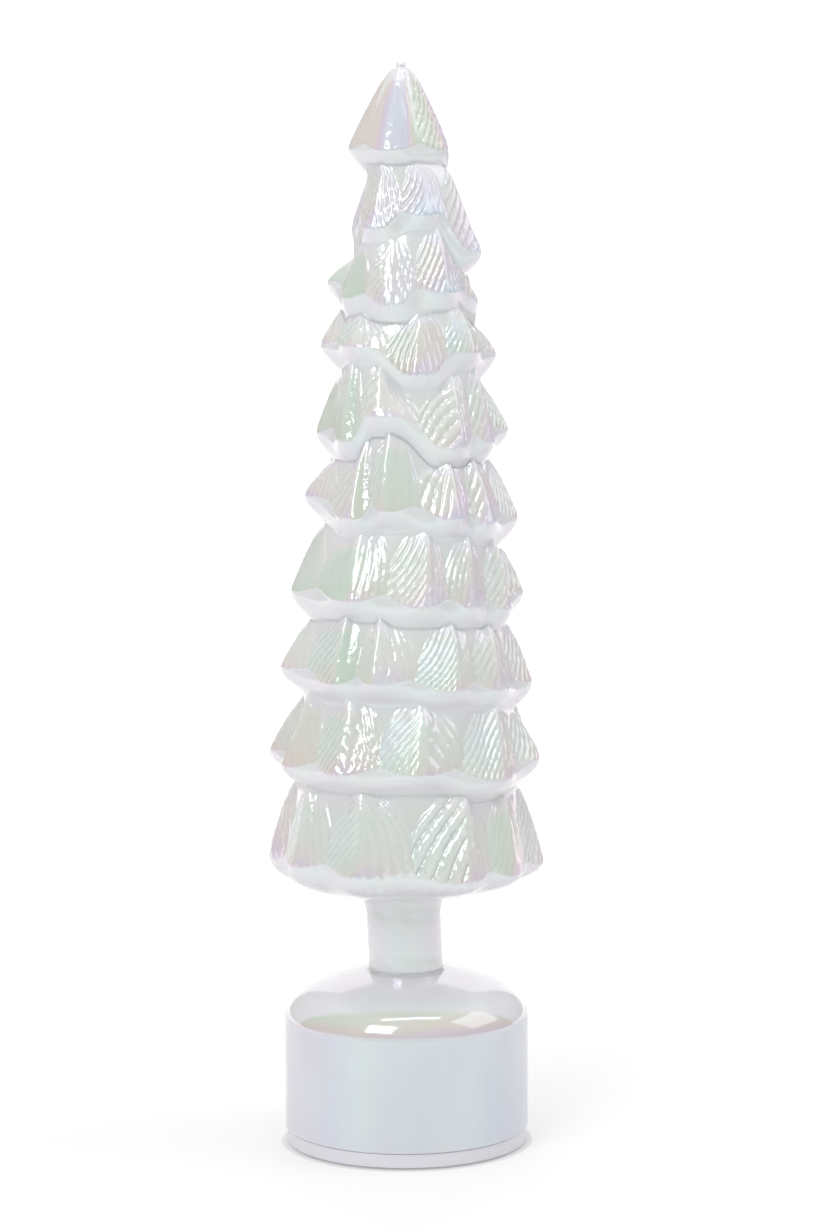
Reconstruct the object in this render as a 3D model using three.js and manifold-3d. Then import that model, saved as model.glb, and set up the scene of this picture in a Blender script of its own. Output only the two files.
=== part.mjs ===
// Rotating LED tree: a hollow pearl glass crown on a glass trunk, bonded to a domed glass base. They
// turn together on a fixed plastic foot with three cells, a gear motor, a switch and a mast of LEDs.
// Millimetres, +Z up, origin on the ground under the middle. Angles are in degrees, start at the
// front (-Y) and grow towards +X.

import * as THREE from 'three';
import { mergeVertices } from 'three/addons/utils/BufferGeometryUtils.js';
import Module from 'manifold-3d';

const wasm = await Module();
wasm.setup();

// Sides of large, middling and small round shapes
const LARGE_SIDES = 48;
const ROUND_SIDES = 16;
const HOLE_SIDES = 10;

// Clearances
const SEAT = 0.2;               // between two pieces that sit on or in each other
const RUN = 0.3;                // between a moving piece and a fixed one
const SHAFT_RUN = 0.12;         // around a turning shaft in its hole
const EMBED = 0.3;              // how far two joined shapes run into each other

// Cells and their box
const CELL_COUNT = 3;
const CELL_RADIUS = 7.1;
const CELL_LENGTH = 49.2;
const CELL_STUD_RADIUS = 2.6;
const CELL_STUD_LENGTH = 1.2;
const CELL_GAP = 0.5;
const CONTACT_PLATE = 0.5;
const CONTACT_REACH = 1.3;
const CONTACT_WIDTH = 9;
const CONTACT_TAB_WIDTH = 3;
const BOX_WALL = 1;
const BOX_CORNER_GAP = 0.4;

// Foot pan, its feet and its screws
const PAD_HEIGHT = 0.9;
const PAD_RADIUS = 4;
const PAD_RECESS = 0.8;
const PAN_HEIGHT = 4.7;
const PAN_FLOOR = 2.2;
const PAN_WALL = 1.9;
const PAN_INSET = 0.6;
const PAD_ANGLES = [52, 128, 232, 308];
const PAN_SCREW_ANGLES = [0, 69, 180, 249];
const SCREW_RADIUS = 1;
const SCREW_HEAD_RADIUS = 2.3;
const SCREW_HEAD_HEIGHT = 1.2;
const SCREW_LENGTH = 8;
const SCREW_HOLE_GAP = 0.15;
const SCREW_SLOT_WIDTH = 0.6;
const SCREW_SLOT_DEPTH = 0.5;
const BOSS_RADIUS = 2.6;

// Drum that stands on the pan inside the glass
const DRUM_WALL = 1.8;
const DECK_THICKNESS = 1.8;
const DECK_ROOM = 2.1;
const GLASS_RUN_GAP = 1.9;
const CAP_POST_ANGLES = [30, 150, 270];
const CAP_POST_RADIUS = 3;
const CAP_POST_CIRCLE = 20;

// Turntable: bearing, toothed carrier and the gasket that grips the glass
const BEARING_HEIGHT = 2;
const BEARING_LIP_WIDTH = 0.8;
const BEARING_LIP_HEIGHT = 1.4;
const CARRIER_HEIGHT = 9;
const CARRIER_RIM = 1.8;
const GASKET_THICKNESS = 2.3;
const GASKET_MARGIN = 0.6;
const RING_TEETH = 60;
const PINION_TEETH = 8;
const RING_ADDENDUM = 0.55;     // shares of the module
const PINION_ADDENDUM = 0.8;
const DEDENDUM = 1.15;
const TOOTH_ROOT_WIDTH = 0.46;  // shares of the tooth pitch
const TOOTH_TIP_WIDTH = 0.2;
const LIFT_GAP = 0.8;
const CAP_THICKNESS = 2;

// Gear motor
const MOTOR_DEPTH = 10;
const MOTOR_WIDTH = 12;
const MOTOR_LENGTH = 12;
const MOTOR_CORNER = 1.5;
const SHAFT_RADIUS = 1.5;

// Switch and board
const SWITCH_DEPTH = 6;
const SWITCH_WIDTH = 13;
const SWITCH_HEIGHT = 6;
const SWITCH_TRAVEL = 4;
const KNOB_DEPTH = 3;
const KNOB_WIDTH = 3;
const KNOB_RECESS = 0.5;
const KNOB_IN_SWITCH = 3;
const BOARD_DEPTH = 11;
const BOARD_WIDTH = 18;
const BOARD_THICKNESS = 1.2;

// Battery door
const DOOR_THICKNESS = 2;
const DOOR_TAB_X = 12;
const DOOR_TAB_WIDTH = 7;

// Light mast
const MAST_RADIUS = 4.5;
const MAST_WALL = 1;
const MAST_TOP_GAP = 30;        // below the top lip of the crown
const MAST_SOCKET_WALL = 2.5;
const MAST_SOCKET_HEIGHT = 9;
const STRIP_WIDTH = 4.4;
const STRIP_THICKNESS = 0.8;
const LED_COUNT = 8;
const LED_SIZE = 2.6;
const LED_THICKNESS = 1.2;
const MAST_PLUG_HEIGHT = 2;

// Leads
const LEAD_RADIUS = 0.45;
const LEAD_SIDES = 8;
const LEAD_STEP = 2.7;
const LEAD_BEND = 1.2;
const LEAD_SPACING = 2.6;
const LEAD_DROP_GAP = 2.5;

// Glass base, and the bead that bonds the tree to it
const GLASS_WALL = 2.5;
const RIM_GAP = 0.8;            // between the pan and the glass
const RIM_ROUND = 0.9;
const SHOULDER_Z = 44;
const DOME_RISE = 18.6;
const DOME_SQUARENESS = 2.25;
const DOME_ROWS = 6;
const SPIGOT_WALL = 1.2;
const SPIGOT_HEIGHT = 6;
const BEAD_SIZE = 1.3;
const BEAD_SIDES = 3;
const LAND_MARGIN = 0.6;        // flat ring on the dome outside the bead

// Trunk
const TRUNK_RADIUS = 13.1;
const TRUNK_LENGTH = 28.2;      // from the flat on the dome to the root of the crown
const TRUNK_FLARE = 1.2;
const TRUNK_FLARE_SHARE = 0.7;  // of the trunk's length that is straight, below the flare
const TRUNK_SHIFT = -1.1;       // of the trunk's top towards +X

// Crown, and the rows of its surface as shares of each stretch
const CROWN_HEIGHT = 288.5;     // from its root on the trunk to the foot of the nub
const CROWN_RADIUS = 47.6;      // at the lips of the widest tier
const CROWN_COLUMNS = 60;
const SKIRT_ROWS = [0, 0.35, 0.7, 1];
const UNDERSIDE_ROWS = [0.5, 1];
const SLOPE_ROWS = [0, 0.3, 0.65, 1];
const SKIRT_BAND = 5;           // smooth band under the lowest lip
const SKIRT_CURVE = 1.5;
const LIP_BAND = 2.6;           // smooth band under each other lip
const LIP_TUCK = 0.9;           // how far a band's lower edge has come in
const BAND_SWAY = 2;            // how much further between boughs
const UNDERSIDE_DROP = 9.5;     // from a bough's lip down to the neck below it
const VALLEY_DEPTH = 0.62;      // share of a bough's reach beyond its neck that is lost between boughs
const VALLEY_RISE = 0.3;        // share of a tier's height that its lip climbs between boughs
const TOP_VALLEY_SHARE = 0.3;   // the top tier's valleys are this much shallower
const BOUGH_TOP_WIDTH = 0.25;   // a bough's width at its top, as a share of that at its lip
const BOUGH_SPREAD = 0.8;       // how evenly it widens: 1 is straight-sided
const NUB_RADIUS = 2;
const NUB_HEIGHT = 2;
const NUB_SHOULDER = 0.4;       // share of the nub's height where it starts to round over

// Tiers from the bottom up. Heights are per cent of CROWN_HEIGHT and radii are per cent of
// CROWN_RADIUS. rise: lip above the lip below. reach: radius at a bough's lip. neck: radius under
// the next tier. bulge: 1 is a straight bough, less is a fuller one. shift: how far the lip and the
// neck stand towards +X. boughs: each angle, how far its lip sits from the tier's own level, and how
// much further it reaches.
const TIERS = [
  { rise: 3.81, reach: 100, neck: 80.7, bulge: 0.72, shift: [0.2, 1.3],
    boughs: [[-88, 0.69, 0], [-54, 1.21, 0], [-22, 0.87, 0], [20, 0, 0], [49, 0, 0], [87, -0.35, 0.8],
      [124, 0, 0], [161, 0.69, 0], [198, -0.35, 0], [235, 0.35, 0]] },
  { rise: 12.93, reach: 99.6, neck: 75.6, bulge: 0.8, shift: [-0.4, 3.8],
    boughs: [[-93, 0.69, 0], [-62, 0, 0], [-30, 0, 0], [3, 0.17, 0], [39, -1.21, 0], [82, -0.17, 0],
      [116, 0.35, 0], [154, -0.35, 0], [191, 0.69, 0], [229, 0, 0]] },
  { rise: 10.12, reach: 92, neck: 71.8, bulge: 0.75, shift: [0.4, 2.7],
    boughs: [[-79, 1.18, 0], [-44, 0.52, 0], [-13, 0.69, 0], [22, -0.17, 0], [50, -0.69, 0],
      [88, -1.04, 0], [121, 0, 0], [155, 0.35, 0], [188, -0.35, 0], [222, 0.35, 0], [247, 0.69, 0]] },
  { rise: 9.71, reach: 84.9, neck: 63.9, bulge: 0.75, shift: [2.1, 5.7],
    boughs: [[-85, 0.52, 0], [-51, 0.35, 0], [-20, 0.87, 0], [7, 0, 0], [36, -0.35, 0], [60, -1.04, 0],
      [95, -0.1, 0], [131, 0.35, 0], [167, 0, 0], [203, 0.69, 0], [239, 0, 0]] },
  { rise: 10.57, reach: 77.7, neck: 55.9, bulge: 0.8, shift: [5.9, 5.5],
    boughs: [[-84, 1.66, 0], [-38, -0.35, 0], [-9, 0.69, 0], [26, -0.35, 0], [48, -1.21, 0],
      [90, -1.39, 0], [130, 0, 0], [170, 0.69, 0], [210, -0.35, 0], [240, 0.69, 0]] },
  { rise: 9.01, reach: 69.3, neck: 50.4, bulge: 0.88, shift: [6.5, 5.7],
    boughs: [[-88, 0.17, 0], [-46, -0.35, 0], [-18, 2.77, 0], [25, -1.04, 0], [57, -0.69, 0],
      [92, 0.28, 0], [137, 0.69, 0], [182, -0.35, 0], [227, 0.35, 0]] },
  { rise: 10.23, reach: 63.4, neck: 48.3, bulge: 0.85, shift: [4.2, 5],
    boughs: [[-88, 0.55, 0], [-42, 0.69, 0], [10, -2.6, 0], [50, -0.17, 0], [92, -0.62, 0],
      [137, 0.35, 0], [182, -0.69, 0], [227, 0.35, 0]] },
  { rise: 6.59, reach: 55, neck: 39.5, bulge: 0.85, shift: [3.8, 3.8],
    boughs: [[-93, 1.53, 2.5], [-59, -0.35, 0], [-13, -1.04, 0], [32, 0.35, 0], [80, -0.69, -4.2],
      [130, -0.69, 0], [165, 0, 0], [215, 0.35, 0]] },
  { rise: 7.97, reach: 47.5, neck: 28.2, bulge: 0.95, shift: [3.4, 4.6],
    boughs: [[-88, -0.35, -5.5], [-34, 0, 0], [15, 1.56, 0], [70, -2.98, 8.8], [118, -0.69, 0],
      [170, 0, 0], [223, 0.35, 0]] },
  { rise: 9.19, reach: 37.8, neck: 5, bulge: 0.78, shift: [-1.5, 0],
    boughs: [[-82, 0.14, 0.4], [-5, 0, 0], [68, 0, 0], [125, 0, 0], [180, 0, 0], [230, 0, 0]] },
].map((tier) => ({
  rise: tier.rise * CROWN_HEIGHT / 100,
  reach: tier.reach * CROWN_RADIUS / 100,
  neck: tier.neck * CROWN_RADIUS / 100,
  bulge: tier.bulge,
  shift: tier.shift.map((value) => value * CROWN_RADIUS / 100),
  boughs: tier.boughs.map(([angle, level, extra]) => (
    [angle, level * CROWN_HEIGHT / 100, extra * CROWN_RADIUS / 100])),
}));

// Worked-out sizes of the foot
const cellPitch = 2 * CELL_RADIUS + CELL_GAP;
const bayHalfWidth = (CELL_COUNT * cellPitch + CELL_GAP) / 2;
const bayHalfLength = (CELL_LENGTH + CELL_STUD_LENGTH) / 2 + CONTACT_PLATE + CONTACT_REACH + SEAT;
const boxHalfWidth = bayHalfWidth + BOX_WALL;
const boxHalfLength = bayHalfLength + BOX_WALL;
const drumInner = Math.hypot(boxHalfWidth, boxHalfLength) + BOX_CORNER_GAP;
const drumOuter = drumInner + DRUM_WALL;
const glassInner = drumOuter + GLASS_RUN_GAP;
const baseRadius = glassInner + GLASS_WALL;
const panRadius = baseRadius - PAN_INSET;

// Worked-out heights of the foot
const panBottom = PAD_HEIGHT;
const panFloorTop = panBottom + PAN_FLOOR;
const panTop = panBottom + PAN_HEIGHT;
const rimZ = panTop + RIM_GAP;
const innerFloor = panFloorTop + SEAT;
const cellAxisZ = innerFloor + SEAT + CELL_RADIUS;
const boxCeiling = cellAxisZ + CELL_RADIUS + SEAT;
const boxTop = boxCeiling + BOX_WALL;
const deckBottom = boxTop + DECK_ROOM;
const deckTop = deckBottom + DECK_THICKNESS;
const bearingBottom = deckTop + SEAT;
const bearingTop = bearingBottom + BEARING_HEIGHT;
const carrierBottom = bearingTop + SEAT;
const carrierTop = carrierBottom + CARRIER_HEIGHT;
const lipTop = bearingTop + BEARING_LIP_HEIGHT;
const capBottom = carrierTop + LIFT_GAP;
const capTop = capBottom + CAP_THICKNESS;

// Worked-out sizes of the gears
const carrierOuter = glassInner - GASKET_THICKNESS - 2 * SEAT;
const ringRoot = carrierOuter - CARRIER_RIM;
const gearModule = ringRoot / (RING_TEETH / 2 + DEDENDUM);
const ringPitch = gearModule * RING_TEETH / 2;
const ringTip = ringPitch - RING_ADDENDUM * gearModule;
const pinionPitch = gearModule * PINION_TEETH / 2;
const pinionTip = pinionPitch + PINION_ADDENDUM * gearModule;
const motorX = ringPitch - pinionPitch;
const pinionBottom = lipTop + 2 * RUN;
const pinionTop = carrierTop - RUN;

// Worked-out places of the other pieces in the drum
const switchX = -(boxHalfWidth + SEAT + BOARD_DEPTH / 2 + SEAT);
const switchBottom = innerFloor + SEAT;
const switchTop = switchBottom + SWITCH_HEIGHT;
const boardTop = switchTop + SEAT + BOARD_THICKNESS;
const knobRestY = -SWITCH_TRAVEL / 2;
const screwCircle = drumInner - BOSS_RADIUS + EMBED;
const padCircle = panRadius - PAD_RADIUS - PAN_WALL;
const doorTabY = boxHalfLength + BOSS_RADIUS - EMBED;
const doorTabEnd = doorTabY + DOOR_TAB_WIDTH / 2;
const leadLevel = (boxTop + deckBottom) / 2;

// Worked-out sizes of the glass
const trunkBore = TRUNK_RADIUS - GLASS_WALL;
const trunkTopRadius = TRUNK_RADIUS + TRUNK_FLARE;
const landRadius = TRUNK_RADIUS + SEAT + BEAD_SIZE + LAND_MARGIN;
const landZ = domeHeight(landRadius, baseRadius, DOME_RISE);
const trunkBottom = landZ + SEAT;
const crownRoot = landZ + TRUNK_LENGTH;
const topLip = TIERS.reduce((sum, tier) => sum + tier.rise, crownRoot);
const nubZ = crownRoot + CROWN_HEIGHT;
const tipZ = nubZ + NUB_HEIGHT;
const mastTop = topLip - MAST_TOP_GAP;
const mastBottom = capTop + SEAT;

// Colours
const PEARL_GLASS = material(0xe6ebee, 0.12, 0);
const WHITE_PLASTIC = material(0xe4e3ee, 0.35, 0);
const GREY_PLASTIC = material(0xc9ccd2, 0.5, 0);
const NATURAL_PLASTIC = material(0xefeee6, 0.45, 0);
const CLEAR_PLASTIC = material(0xdfe8ea, 0.2, 0);
const SILICONE = material(0xd8dcdf, 0.7, 0);
const RUBBER = material(0x9a9da3, 0.85, 0);
const STEEL = material(0xb5b8bb, 0.3, 1);
const BRASS = material(0xc8a860, 0.35, 1);
const CELL_SKIN = material(0x3f6a86, 0.4, 0);
const BOARD_GREEN = material(0x2f6b45, 0.5, 0);
const LED_WHITE = material(0xfdf3d2, 0.3, 0);
const BLACK_PLASTIC = material(0x26272a, 0.5, 0);
const RED_LEAD = material(0xb3262a, 0.5, 0);
const BLACK_LEAD = material(0x1d1d20, 0.5, 0);
const WHITE_LEAD = material(0xe6e6e2, 0.5, 0);

function material(color, roughness, metalness) {
  return new THREE.MeshStandardMaterial({ color, roughness, metalness });
}

const tree = new THREE.Group();

function addPiece(name, geometry, pieceMaterial) {
  const piece = new THREE.Mesh(closedGeometry(geometry), pieceMaterial);
  piece.name = name;
  tree.add(piece);
}

// Shared vertices, no triangle without area, and faces that point out.
function closedGeometry(source) {
  const geometry = source.clone();
  for (const name of Object.keys(geometry.attributes)) {
    if (name !== 'position') geometry.deleteAttribute(name);
  }
  const merged = mergeVertices(geometry, 1e-4);
  const index = merged.index.array;
  const position = merged.attributes.position;
  const corners = [];
  let volume = 0;
  const a = new THREE.Vector3();
  const b = new THREE.Vector3();
  const c = new THREE.Vector3();
  for (let i = 0; i < index.length; i += 3) {
    const [p, q, r] = [index[i], index[i + 1], index[i + 2]];
    if (p === q || q === r || r === p) continue;
    corners.push(p, q, r);
    a.fromBufferAttribute(position, p);
    b.fromBufferAttribute(position, q);
    c.fromBufferAttribute(position, r);
    volume += a.dot(b.cross(c));
  }
  if (volume < 0) corners.reverse();
  merged.setIndex(corners);
  merged.computeVertexNormals();
  return merged;
}

function toSolid(geometry) {
  const closed = closedGeometry(geometry);
  return new wasm.Manifold(new wasm.Mesh({
    numProp: 3,
    vertProperties: new Float32Array(closed.attributes.position.array),
    triVerts: new Uint32Array(closed.index.array),
  }));
}

function fromSolid(solid) {
  const { vertProperties, triVerts } = solid.getMesh();
  const geometry = new THREE.BufferGeometry();
  geometry.setAttribute('position', new THREE.BufferAttribute(vertProperties, 3));
  geometry.setIndex(new THREE.BufferAttribute(triVerts, 1));
  return geometry;
}

// One geometry from shapes that are joined and shapes that are cut away.
function shaped(joined, cut = []) {
  const whole = joined.map(toSolid).reduce((sum, solid) => sum.add(solid));
  return fromSolid(cut.map(toSolid).reduce((rest, solid) => rest.subtract(solid), whole));
}

function box(x0, x1, y0, y1, z0, z1) {
  return new THREE.BoxGeometry(x1 - x0, y1 - y0, z1 - z0)
    .translate((x0 + x1) / 2, (y0 + y1) / 2, (z0 + z1) / 2);
}

function disc(x, y, z0, z1, radius, sides = ROUND_SIDES) {
  return new THREE.CylinderGeometry(radius, radius, z1 - z0, sides)
    .rotateX(Math.PI / 2)
    .translate(x, y, (z0 + z1) / 2);
}

// A closed profile of [radius, height] points, turned about the Z axis.
function turned(profile, sides) {
  const points = profile.map(([radius, z]) => new THREE.Vector2(radius, z));
  return new THREE.LatheGeometry(points, sides).rotateX(Math.PI / 2);
}

function ring(inner, outer, z0, z1, sides = LARGE_SIDES) {
  return turned([[inner, z0], [outer, z0], [outer, z1], [inner, z1], [inner, z0]], sides);
}

function place(radius, angle) {
  const turn = THREE.MathUtils.degToRad(angle);
  return [radius * Math.sin(turn), -radius * Math.cos(turn)];
}

// Glass base: a cylinder with a domed top, and a spigot inside the trunk. The bead lies round the
// trunk's foot on the flat ring of the dome.

// Height of the dome at a radius, for its outside or its inside.
function domeHeight(radius, fullRadius, rise) {
  const share = (radius / fullRadius) ** DOME_SQUARENESS;
  return SHOULDER_Z + rise * (1 - share) ** (1 / DOME_SQUARENESS);
}

// The dome from its shoulder to an inner radius, as [radius, height] points.
function domeProfile(fullRadius, rise, innerRadius) {
  return Array.from({ length: DOME_ROWS + 1 }, (_, i) => {
    const turn = (i / DOME_ROWS) * (Math.PI / 2);
    const radius = innerRadius + (fullRadius - innerRadius) * Math.cos(turn);
    return [radius, domeHeight(radius, fullRadius, rise)];
  });
}

function glassBaseGeometry() {
  const spigotOuter = trunkBore - SEAT;
  const spigotInner = spigotOuter - SPIGOT_WALL;
  return turned([
    [glassInner, rimZ],
    [baseRadius - RIM_ROUND, rimZ],
    [baseRadius, rimZ + RIM_ROUND],
    ...domeProfile(baseRadius, DOME_RISE, landRadius),
    [spigotOuter, landZ],
    [spigotOuter, landZ + SPIGOT_HEIGHT],
    [spigotInner, landZ + SPIGOT_HEIGHT],
    ...domeProfile(glassInner, DOME_RISE - GLASS_WALL, spigotInner).reverse(),
    [glassInner, rimZ],
  ], LARGE_SIDES);
}

addPiece('glass_base', glassBaseGeometry(), PEARL_GLASS);

function beadGeometry() {
  const inner = TRUNK_RADIUS + SEAT;
  const points = Array.from({ length: BEAD_SIDES + 1 }, (_, i) => {
    const turn = (i / BEAD_SIDES) * (Math.PI / 2);
    return [inner + BEAD_SIZE * Math.cos(turn), trunkBottom + BEAD_SIZE * Math.sin(turn)];
  });
  return turned([[inner, trunkBottom], ...points, [inner, trunkBottom]], LARGE_SIDES);
}

addPiece('trunk_bead', beadGeometry(), SILICONE);

// Trunk: a tube that leans a little. Its flared top carries the crown, and its spigot centres it.

// A section's shift towards +X, between those of the trunk's top, each lip and each neck.
function shiftAt(z) {
  const stops = [[trunkBottom, 0], [crownRoot, TRUNK_SHIFT]];
  let level = crownRoot;
  TIERS.forEach((tier, i) => {
    level += tier.rise;
    stops.push([level, tier.shift[0]]);
    stops.push([i < TIERS.length - 1 ? level + TIERS[i + 1].rise - UNDERSIDE_DROP : nubZ, tier.shift[1]]);
  });
  const next = stops.findIndex(([height]) => height > z);
  if (next < 0) return stops[stops.length - 1][1];
  if (next === 0) return stops[0][1];
  const [[z0, shift0], [z1, shift1]] = [stops[next - 1], stops[next]];
  return THREE.MathUtils.mapLinear(z, z0, z1, shift0, shift1);
}

function leaned(geometry) {
  const position = geometry.attributes.position;
  for (let i = 0; i < position.count; i += 1) {
    position.setX(i, position.getX(i) + shiftAt(position.getZ(i)));
  }
  return geometry;
}

function trunkGeometry() {
  const spigotOuter = trunkBore + SPIGOT_WALL;
  const shoulderZ = crownRoot - SEAT;
  const spigotTop = crownRoot + GLASS_WALL;
  return leaned(turned([
    [trunkBore, trunkBottom],
    [TRUNK_RADIUS, trunkBottom],
    [TRUNK_RADIUS, THREE.MathUtils.lerp(trunkBottom, shoulderZ, TRUNK_FLARE_SHARE)],
    [trunkTopRadius, shoulderZ],
    [spigotOuter, shoulderZ],
    [spigotOuter, spigotTop],
    [trunkBore, spigotTop],
    [trunkBore, trunkBottom],
  ], LARGE_SIDES));
}

addPiece('glass_trunk', trunkGeometry(), PEARL_GLASS);

// Crown. A bough is a three-sided wedge on a smooth core, narrow at its top and as wide as its
// share of the tier at its lip.

// How a tier looks at one angle: 0 to 1 from a bough's ridge to the valley beside it, the height
// of its lip above the tier's own level, and its reach beyond the tier's own.
function boughAt(tier, angle) {
  const list = tier.boughs;
  const turnFrom = (start, end) => ((end - start) % 360 + 360) % 360;
  const i = list.reduce((best, bough, k) => (
    turnFrom(bough[0], angle) < turnFrom(list[best][0], angle) ? k : best), 0);
  const [start, startLevel, startExtra] = list[i];
  const [end, endLevel, endExtra] = list[(i + 1) % list.length];
  const share = turnFrom(start, angle) / turnFrom(start, end);
  const blend = THREE.MathUtils.smoothstep(share, 0, 1);
  return {
    valley: 1 - Math.abs(2 * share - 1),
    level: THREE.MathUtils.lerp(startLevel, endLevel, blend),
    extra: THREE.MathUtils.lerp(startExtra, endExtra, blend),
  };
}

// The underside of a tier, from its inner end up to the lower edge of its band.
function undersideProfile(inner, band, steps, curve) {
  return steps.map((step) => [
    THREE.MathUtils.lerp(inner.radius, band.radius, step),
    THREE.MathUtils.lerp(inner.z, band.z, step ** curve),
  ]);
}

// The outside of the crown at one angle, from its root to the tip.
function crownProfile(angle) {
  const points = [];
  let level = crownRoot;
  TIERS.forEach((tier, i) => {
    level += tier.rise;
    const below = TIERS[i - 1];
    const above = TIERS[i + 1];
    const here = boughAt(tier, angle);
    const lowest = level + here.level;
    const neckZ = above ? level + above.rise + boughAt(above, angle).level - UNDERSIDE_DROP : nubZ;
    const valleyShare = above ? 1 : TOP_VALLEY_SHARE;
    const lipZ = lowest + VALLEY_RISE * here.valley ** 2 * (neckZ - lowest);
    const reach = tier.reach + here.extra;
    const band = {
      radius: reach - LIP_TUCK - BAND_SWAY * here.valley * valleyShare,
      z: below ? lowest - LIP_BAND : level - SKIRT_BAND,
    };
    points.push(...(below
      ? undersideProfile({ radius: below.neck, z: lowest - UNDERSIDE_DROP }, band, UNDERSIDE_ROWS, 1)
      : undersideProfile({ radius: trunkTopRadius, z: crownRoot }, band, SKIRT_ROWS, SKIRT_CURVE)));
    for (const share of SLOPE_ROWS) {
      const fullness = (1 - share) ** tier.bulge * (reach - tier.neck);
      const width = BOUGH_TOP_WIDTH + (1 - BOUGH_TOP_WIDTH) * (1 - share) ** BOUGH_SPREAD;
      const wedge = Math.max(0, 1 - here.valley / width);
      points.push([
        tier.neck + fullness * (1 - VALLEY_DEPTH * valleyShare * (1 - wedge)),
        THREE.MathUtils.lerp(lipZ, neckZ, share),
      ]);
    }
  });
  points.push([NUB_RADIUS, nubZ + NUB_HEIGHT * NUB_SHOULDER]);
  return points;
}

// The inside of the crown, from the hole for the trunk's spigot to its top.
function hollowProfile() {
  const holeRadius = trunkBore + SPIGOT_WALL + SEAT;
  const points = [[holeRadius, crownRoot], [holeRadius, crownRoot + GLASS_WALL]];
  let level = crownRoot;
  TIERS.slice(0, -1).forEach((tier, i) => {
    level += tier.rise;
    if (i === 0) points.push([tier.neck - GLASS_WALL, level]);
    points.push([tier.neck - GLASS_WALL, level + TIERS[i + 1].rise - UNDERSIDE_DROP]);
  });
  return points;
}

function crownGeometry() {
  const positions = [];
  const index = [];
  const inside = hollowProfile();
  const insideTop = inside[inside.length - 1][1] + GLASS_WALL;
  let rows = 0;
  for (let column = 0; column < CROWN_COLUMNS; column += 1) {
    const angle = (column * 360) / CROWN_COLUMNS;
    const line = [...inside].reverse().concat(crownProfile(angle));
    rows = line.length;
    for (const [radius, z] of line) {
      const [x, y] = place(radius, angle);
      positions.push(x + shiftAt(z), y, z);
    }
  }
  const insideApex = positions.length / 3;
  positions.push(shiftAt(insideTop), 0, insideTop);
  const tip = insideApex + 1;
  positions.push(shiftAt(tipZ), 0, tipZ);
  for (let column = 0; column < CROWN_COLUMNS; column += 1) {
    const here = column * rows;
    const next = ((column + 1) % CROWN_COLUMNS) * rows;
    for (let row = 0; row < rows - 1; row += 1) {
      index.push(here + row, next + row, next + row + 1);
      index.push(here + row, next + row + 1, here + row + 1);
    }
    index.push(insideApex, next, here);
    index.push(here + rows - 1, next + rows - 1, tip);
  }
  const geometry = new THREE.BufferGeometry();
  geometry.setAttribute('position', new THREE.Float32BufferAttribute(positions, 3));
  geometry.setIndex(index);
  return geometry;
}

addPiece('glass_tree', crownGeometry(), PEARL_GLASS);

// Turntable: the gasket grips the glass, and the carrier's inner teeth are driven by the pinion

addPiece('glass_gasket',
  ring(carrierOuter + SEAT, glassInner - SEAT, carrierBottom + GASKET_MARGIN, carrierTop - GASKET_MARGIN),
  SILICONE);

// Straight-sided teeth around a circle. root and tip are radii, and the first tooth is at phase.
function toothOutline(count, root, tip, pitch, phase) {
  const step = (2 * Math.PI) / count;
  const points = [];
  for (let i = 0; i < count; i += 1) {
    const middle = phase + i * step;
    const half = (share, radius) => (share * step * pitch) / (2 * radius);
    points.push([root, middle - half(TOOTH_ROOT_WIDTH, root)]);
    points.push([tip, middle - half(TOOTH_TIP_WIDTH, tip)]);
    points.push([tip, middle + half(TOOTH_TIP_WIDTH, tip)]);
    points.push([root, middle + half(TOOTH_ROOT_WIDTH, root)]);
  }
  return points.map(([radius, turn]) => new THREE.Vector2(radius * Math.cos(turn), radius * Math.sin(turn)));
}

function circleOutline(radius, sides) {
  return Array.from({ length: sides }, (_, i) => {
    const turn = (i / sides) * 2 * Math.PI;
    return new THREE.Vector2(radius * Math.cos(turn), radius * Math.sin(turn));
  });
}

function extruded(outline, holes, z0, z1) {
  const shape = new THREE.Shape(outline);
  holes.forEach((hole) => shape.holes.push(new THREE.Path(hole)));
  return new THREE.ExtrudeGeometry(shape, { depth: z1 - z0, bevelEnabled: false }).translate(0, 0, z0);
}

// The ring has a gap at angle 0 of the X axis, where the pinion has a tooth.
const ringTeeth = toothOutline(RING_TEETH, ringRoot, ringTip, ringPitch, Math.PI / RING_TEETH);
addPiece('carrier_ring',
  extruded(circleOutline(carrierOuter, LARGE_SIDES), [ringTeeth], carrierBottom, carrierTop),
  NATURAL_PLASTIC);

const pinionRoot = pinionPitch - DEDENDUM * gearModule;
const pinionTeeth = toothOutline(PINION_TEETH, pinionRoot, pinionTip, pinionPitch, 0);
addPiece('drive_pinion',
  extruded(pinionTeeth, [circleOutline(SHAFT_RADIUS + SEAT, ROUND_SIDES)], pinionBottom, pinionTop)
    .translate(motorX, 0, 0),
  NATURAL_PLASTIC);

const bearingOuter = carrierOuter - RUN;
const bearingInner = ringTip - RUN - BEARING_LIP_WIDTH;
addPiece('bearing_ring',
  turned([
    [bearingInner, bearingBottom],
    [bearingOuter, bearingBottom],
    [bearingOuter, bearingTop],
    [bearingInner + BEARING_LIP_WIDTH, bearingTop],
    [bearingInner + BEARING_LIP_WIDTH, lipTop],
    [bearingInner, lipTop],
    [bearingInner, bearingBottom],
  ], LARGE_SIDES),
  GREY_PLASTIC);

// Gear motor, upright beside the cells, its gearbox flush with the deck

const motorBottom = innerFloor;
const motorTop = motorBottom + MOTOR_LENGTH;
const gearboxBottom = motorTop + SEAT;

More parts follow.
